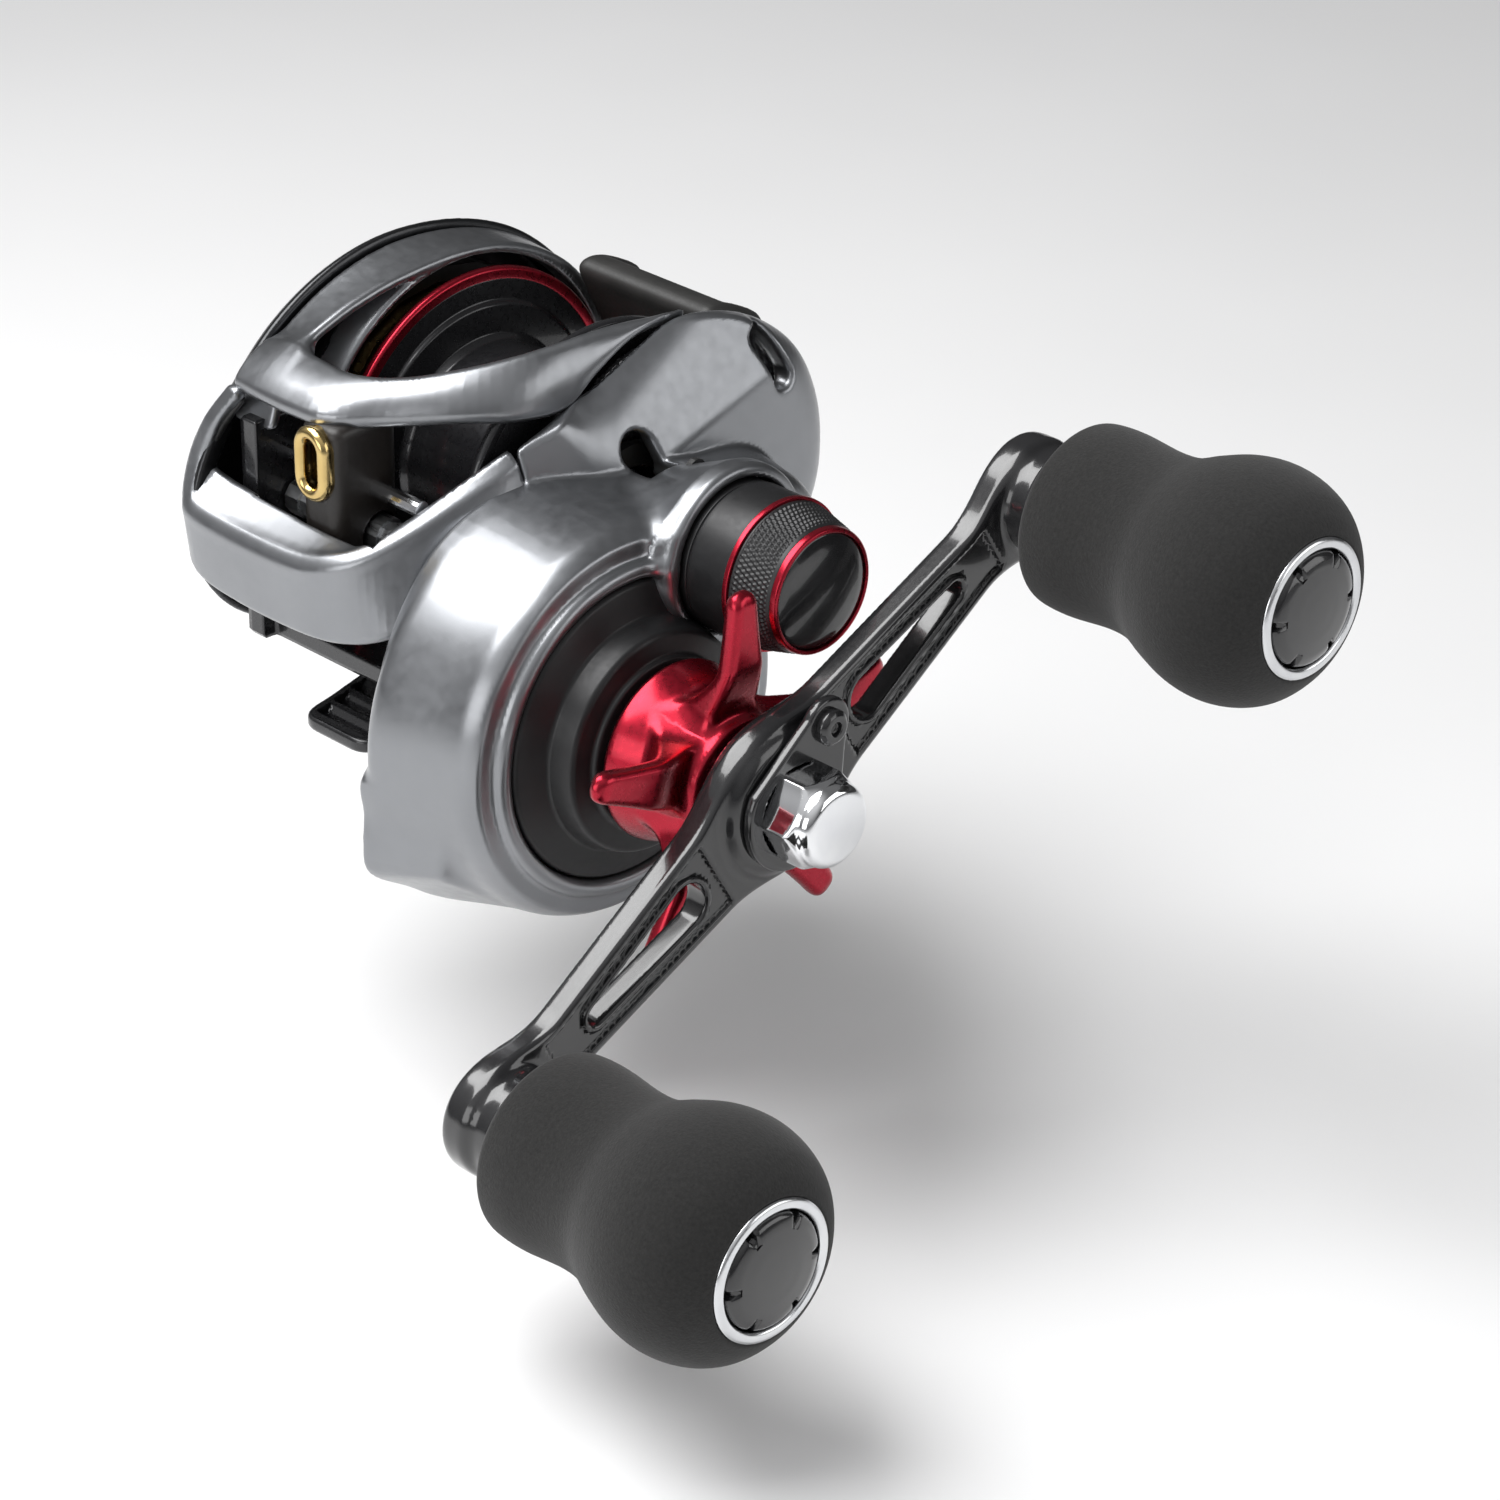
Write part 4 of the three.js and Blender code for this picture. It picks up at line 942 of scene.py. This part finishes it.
# ---------- Handle, nut and retainer ----------

def along_handle(y, z):
    """Distances along and across the handle from the drive axis."""
    dy, dz = y - DRIVE_AXIS[0], z - DRIVE_AXIS[1]
    return dy * ALONG[0] + dz * ALONG[1], dz * ALONG[0] - dy * ALONG[1]


HANDLE_X = (56.5, 60.4)
HANDLE_MIDDLE_RADIUS = 9.6
HANDLE_END_RADIUS = 6.8
HANDLE_BORE = 4.2
HUB_FACE_X = 61.8
HANDLE_END_FACE_X = 64.4


def handle_field(x, y, z):
    u, v = along_handle(y, z)
    u = np.abs(u)
    arm = taper(u, v, (0, 0), (HANDLE_THROW, 0), 7.6, 3.5)
    plan = fuse(arm, np.hypot(u, v) - HANDLE_MIDDLE_RADIUS, 5)
    plan = fuse(plan, np.hypot(u - HANDLE_THROW, v) - HANDLE_END_RADIUS, 7)
    slot = taper(u, v, (17.5, 0), (34.5, 0), 3.0, 1.3)
    solid = meet(plan, slab(x, *HANDLE_X), 1.0)
    trough = np.maximum(np.maximum(plan + 1.3, 0.95 - slot), 59.75 - x)
    trough = np.maximum(trough, np.maximum(12.2 - u, u - 42))
    solid = carve(solid, trough, 0.5)
    solid = carve(solid, slot, 0.8)
    hub = meet(np.hypot(u, v) - (9.4 - 0.5 * (x - HANDLE_X[1])), slab(x, 58, HUB_FACE_X), 1.2)
    solid = fuse(solid, hub, 1.2)
    end = meet(np.hypot(u - HANDLE_THROW, v) - 6.6, slab(x, 58, HANDLE_END_FACE_X), 1.0)
    solid = fuse(solid, end, 1.6)
    return np.maximum(solid, HANDLE_BORE - np.hypot(u, v))


HANDLE_SPAN = np.abs(HANDLE_LINE) + HANDLE_MIDDLE_RADIUS
handle = sculpt(
    "handle_bar", handle_field, (56, *(DRIVE_AXIS - HANDLE_SPAN)), (65, *(DRIVE_AXIS + HANDLE_SPAN)),
    0.5, GLOSS_BLACK, "crank",
)
stands_for(handle, "black_metal", "handle_arm")


NUT_HALF_FLATS = 5.5
NUT_X = (61.9, 68.0)
NUT_FACE_X = 70.5


def nut_field(x, y, z):
    dy, dz = y - DRIVE_AXIS[0], z - DRIVE_AXIS[1]
    flats = -FAR
    for k in range(3):
        turn = math.radians(30 + 60 * k)
        flats = np.maximum(flats, np.abs(dy * math.cos(turn) + dz * math.sin(turn)) - NUT_HALF_FLATS)
    chamfer = np.hypot(dy, dz) + 0.9 * (x - 67.6) - 6.1
    hexagon = meet(meet(flats, slab(x, *NUT_X), 0.4), chamfer, 0.5)
    face = meet(np.hypot(dy, dz) - 5.4, x - NUT_FACE_X + 0.018 * (dy * dy + dz * dz), 1.4)
    return fuse(hexagon, np.maximum(face, 62 - x), 0.7)


nut = sculpt(
    "nut_dome", nut_field, (61.4, *(DRIVE_AXIS - 7)), (71.2, *(DRIVE_AXIS + 7)), 0.3, CHROME, "crank"
)
stands_for(nut, "chrome", "handle_nut")
RETAINER_SCREW = axis_of("retainer_screw")
RETAINER_X = (61.95, 63.4)


def retainer_field(x, y, z):
    plate = taper(y, z, DRIVE_AXIS, RETAINER_SCREW, 8.0, 3.6)
    solid = meet(plate, slab(x, *RETAINER_X), 0.6)
    return np.maximum(solid, -circle(y, z, DRIVE_AXIS, 5.9))


retainer = sculpt(
    "retainer_plate", retainer_field, (61.5, *(np.minimum(DRIVE_AXIS - 9, RETAINER_SCREW - 5))),
    (64, *(np.maximum(DRIVE_AXIS + 9, RETAINER_SCREW + 5))), 0.35, GLOSS_BLACK, "crank",
)
stands_for(retainer, "black_metal", "nut_retainer")
screw = turned(
    "retainer_screw_head",
    [(61.9, 0), (61.9, 2.3), (64.2, 2.3), (64.7, 1.7), (64.7, 0.9), (64.0, 0.8), (63.9, 0)],
    RETAINER_SCREW, GLOSS_BLACK, "crank", 0.2, 48,
)
stands_for(screw, "black_metal", "retainer_screw")

COVER_SCREW = [(14.9, 0), (14.9, 1.9), (15.9, 1.9), (16.2, 1.5), (16.2, 0.8), (15.7, 0.7), (15.7, 0)]
for place in ("rear", "top", "lower"):
    node = f"cover_screw_{place}"
    head = turned(f"screw_head_{place}", COVER_SCREW, axis_of(node), STEEL, "frame", 0.15, 40)
    stands_for(head, "steel", node)

# ---------- Knobs ----------

GRIP_CURVE = [
    (67.0, 10.6), (67.5, 11.4), (68.6, 11.8), (72, 11.9), (78, 11.4), (82.4, 11.8), (86.4, 13.4),
    (90, 14.6), (93.6, 15.0), (97, 14.5), (100, 13.2), (102.2, 11.2), (103.3, 9.5), (103.4, 8.9),
]
GRIP = [(67.0, 4.4), *map(tuple, spline(GRIP_CURVE, 5, closed=False)), (98.9, 8.9), (98.9, 4.4)]
GRIP_RING = [(98.8, 7.4), (103.6, 7.4), (103.9, 7.7), (103.9, 8.5), (103.6, 8.85), (98.8, 8.85)]
GRIP_CAP = [
    (99, 0), (99, 7.3), (103.4, 7.3), (104.0, 6.9), (104.4, 5.9), (104.65, 3.6), (104.75, 1.6), (104.78, 0),
]
GRIP_COLLAR = [(64.5, 3), (64.5, 7.9), (64.9, 8.3), (66.2, 8.3), (66.6, 7.9), (66.6, 3)]


def notched(along, radius, turn):
    """Six small dents round the edge of a knob cap."""
    dent = np.maximum(np.cos(6 * turn) - 0.86, 0) / 0.14
    return radius - np.where((radius > 5.6) & (along > 100), 0.9 * np.minimum(1, 2 * dent), 0)


for side, axis in KNOB_AXES.items():
    knob = f"knob_{side}"
    grip = turned(f"grip_{side}", GRIP, axis, FOAM, knob, 0.15, 112)
    stands_for(grip, "foam", f"knob_grip_{side}")
    ring = turned(f"grip_ring_{side}", GRIP_RING, axis, SATIN_CHROME, knob, 0.25)
    stands_for(ring, "chrome", f"knob_cap_ring_{side}")
    knob_cap = turned(f"grip_cap_{side}", GRIP_CAP, axis, GLOSS_BLACK, knob, 0.5, 144, notched)
    stands_for(knob_cap, "black_metal", f"knob_cap_{side}")
    collar = turned(f"grip_collar_{side}", GRIP_COLLAR, axis, GLOSS_BLACK, "crank", 0.25)
    stands_for(collar, "black_metal", f"knob_collar_{side}")

# ---------- Thumb bar and line guide ----------

THUMB = outline([
    (22.2, 36.6), (24.3, 34.3), (26.6, 34.4), (28.2, 37.0), (28.8, 40.4), (28.2, 43.0), (25.4, 44.9),
    (21.6, 46.5), (19.0, 46.4), (18.2, 44.7), (20.2, 40.6),
])


THUMB_HALF_WIDTH = 12.4
PAD_HALF_WIDTH = 10.4


def thumb_field(x, y, z):
    solid = meet(THUMB(y, z), np.abs(x) - THUMB_HALF_WIDTH, 1.8)
    pad = np.hypot(y - 33.0, z - 53.0) - 12.2
    return carve(solid, np.maximum(pad, np.abs(x) - PAD_HALF_WIDTH), 0.8)


thumb = sculpt("thumb_pad", thumb_field, (-13.2, 17, 33), (13.2, 30, 47.6), 0.45, GREY_PLASTIC, "thumb")
stands_for(thumb, "grey_plastic", "thumb_bar")


def carrier_field(x, y, z):
    solid = meet(slab(x, CARRIER_LOW[0], CARRIER_HIGH[0]), slab(y, CARRIER_LOW[1], CARRIER_HIGH[1]), 2.2)
    solid = meet(solid, slab(z, CARRIER_LOW[2], CARRIER_HIGH[2]), 1.6)
    window = taper(x, z, (GUIDE_X, CARRIER_HIGH[2] - 8.4), (GUIDE_X, CARRIER_HIGH[2] - 3.6), 1.5, 1.5)
    solid = carve(solid, window, 0.6)
    return carve(solid, circle(y, z, WORM_AXIS, 2.9), 0.3)


carrier = sculpt(
    "guide_block", carrier_field, CARRIER_LOW - 0.8, CARRIER_HIGH + 0.8, 0.4, BROWN_BLACK, "guide"
)
stands_for(carrier, "grey_plastic", "line_guide")
RING_LOW, RING_HIGH = node_box("guide_ring")
RING_Z = float(RING_LOW[2] + RING_HIGH[2]) / 2
RING_HALF = float(RING_HIGH[2] - RING_LOW[2]) / 2
RING_RADIUS = 3.0
RING_LIP = 0.85
RING_FRONT_Y, RING_BACK_Y = -34.9, -31.6


def guide_ring_field(x, y, z):
    low, high = RING_Z - RING_HALF + RING_RADIUS, RING_Z + RING_HALF - RING_RADIUS
    inner = RING_RADIUS - RING_LIP
    oval = taper(x, z, (GUIDE_X, low), (GUIDE_X, high), inner, inner)
    front = np.hypot(oval, y - RING_FRONT_Y) - RING_LIP
    back = np.hypot(oval, y - RING_BACK_Y) - RING_LIP
    sleeve = np.maximum(np.abs(oval) - RING_LIP * 0.8, slab(y, RING_FRONT_Y, RING_BACK_Y))
    return np.minimum(fuse(front, sleeve, 0.5), back)


guide = sculpt(
    "guide_insert", guide_ring_field, (GUIDE_X - 4, -36.4, RING_LOW[2] - 0.6),
    (GUIDE_X + 4, -30, RING_HIGH[2] + 0.6), 0.25, GOLD, "guide",
)
stands_for(guide, "gold_ring", "guide_ring")

# ---------- Lights, floor and camera ----------

FLOOR_Z = -45
FLOOR_REACH = 3000


def stage():
    """A pale plain floor under the part."""
    mesh = bpy.data.meshes.new("floor")
    corners = [(-1, -1), (1, -1), (1, 1), (-1, 1)]
    points = [(FLOOR_REACH * MM * u, FLOOR_REACH * MM * v, FLOOR_Z * MM) for u, v in corners]
    mesh.from_pydata(points, [], [(0, 1, 2, 3)])
    floor = bpy.data.objects.new("floor", mesh)
    bpy.context.scene.collection.objects.link(floor)
    look = Look("floor")
    look.feed("Base Color", look.colours(look.noise(0.01), (0.86, 0.86, 0.86), (0.88, 0.88, 0.88)))
    look.feed("Roughness", look.span(look.noise(0.02), 0.88, 0.94))
    look.feed("Normal", look.bump(look.noise(0.5), 0.02, 0.1))
    mesh.materials.append(look.material)


def area_light(name, place, target, width, height, power):
    light = bpy.data.lights.new(name, "AREA")
    light.shape = "RECTANGLE"
    light.size, light.size_y = width * MM, height * MM
    light.energy = power
    lamp = bpy.data.objects.new(name, light)
    lamp.location = Vector(place) * MM
    lamp.rotation_euler = (Vector(target) - Vector(place)).to_track_quat("-Z", "Y").to_euler()
    bpy.context.scene.collection.objects.link(lamp)


def world():
    """A soft room: brighter overhead, and darker behind the part than in front of it."""
    made = bpy.data.worlds.new("studio")
    bpy.context.scene.world = made
    made.use_nodes = True
    nodes, links = made.node_tree.nodes, made.node_tree.links
    place = nodes.new("ShaderNodeTexCoord").outputs["Generated"]
    parts = nodes.new("ShaderNodeSeparateXYZ")
    links.new(place, parts.inputs[0])
    ramp_node = nodes.new("ShaderNodeValToRGB")
    ramp_node.color_ramp.elements[0].position = 0.0
    ramp_node.color_ramp.elements[0].color = (0.16, 0.16, 0.165, 1)
    ramp_node.color_ramp.elements[1].position = 0.75
    ramp_node.color_ramp.elements[1].color = (0.85, 0.85, 0.86, 1)
    links.new(parts.outputs["Z"], ramp_node.inputs["Fac"])
    shade = nodes.new("ShaderNodeMapRange")
    shade.interpolation_type = "SMOOTHSTEP"
    for name, value in (("From Min", -0.35), ("From Max", 0.3), ("To Min", 1.0), ("To Max", 0.22)):
        shade.inputs[name].default_value = value
    links.new(parts.outputs["Y"], shade.inputs["Value"])
    scaled = nodes.new("ShaderNodeVectorMath")
    scaled.operation = "SCALE"
    links.new(ramp_node.outputs["Color"], scaled.inputs[0])
    links.new(shade.outputs["Result"], scaled.inputs["Scale"])
    back = nodes["Background"]
    links.new(scaled.outputs["Vector"], back.inputs["Color"])
    back.inputs["Strength"].default_value = 0.8


CAMERA_PLACE = (424.68, -382.85, 285.44)
# Azimuth, elevation and roll, in degrees.
CAMERA_TURN = (45.22, 27.63, 0.51)
LENS_MM = 118.39


def camera():
    """The camera at the photo's angle and distance."""
    data = bpy.data.cameras.new("camera")
    data.lens = LENS_MM
    data.sensor_width = 36
    data.clip_start, data.clip_end = 0.01, 20
    made = bpy.data.objects.new("camera", data)
    azimuth, elevation, roll = (math.radians(a) for a in CAMERA_TURN)
    right = Vector((math.cos(azimuth), math.sin(azimuth), 0))
    back = Vector((math.sin(azimuth) * math.cos(elevation), -math.cos(azimuth) * math.cos(elevation),
                   math.sin(elevation)))
    up = back.cross(right)
    turned_right = right * math.cos(roll) + up * math.sin(roll)
    turned_up = up * math.cos(roll) - right * math.sin(roll)
    made.matrix_world = Matrix((
        (turned_right.x, turned_up.x, back.x, CAMERA_PLACE[0] * MM),
        (turned_right.y, turned_up.y, back.y, CAMERA_PLACE[1] * MM),
        (turned_right.z, turned_up.z, back.z, CAMERA_PLACE[2] * MM),
        (0, 0, 0, 1),
    ))
    bpy.context.scene.collection.objects.link(made)
    bpy.context.scene.camera = made


stage()
world()
camera()
area_light("key", (-120, -160, 420), (10, -10, 20), 420, 320, 2.9)
area_light("right", (430, 190, 170), (10, -10, 20), 360, 260, 0.55)
area_light("front", (60, -460, 120), (0, -20, 20), 300, 200, 0.5)

bpy.context.scene.view_settings.view_transform = "Standard"
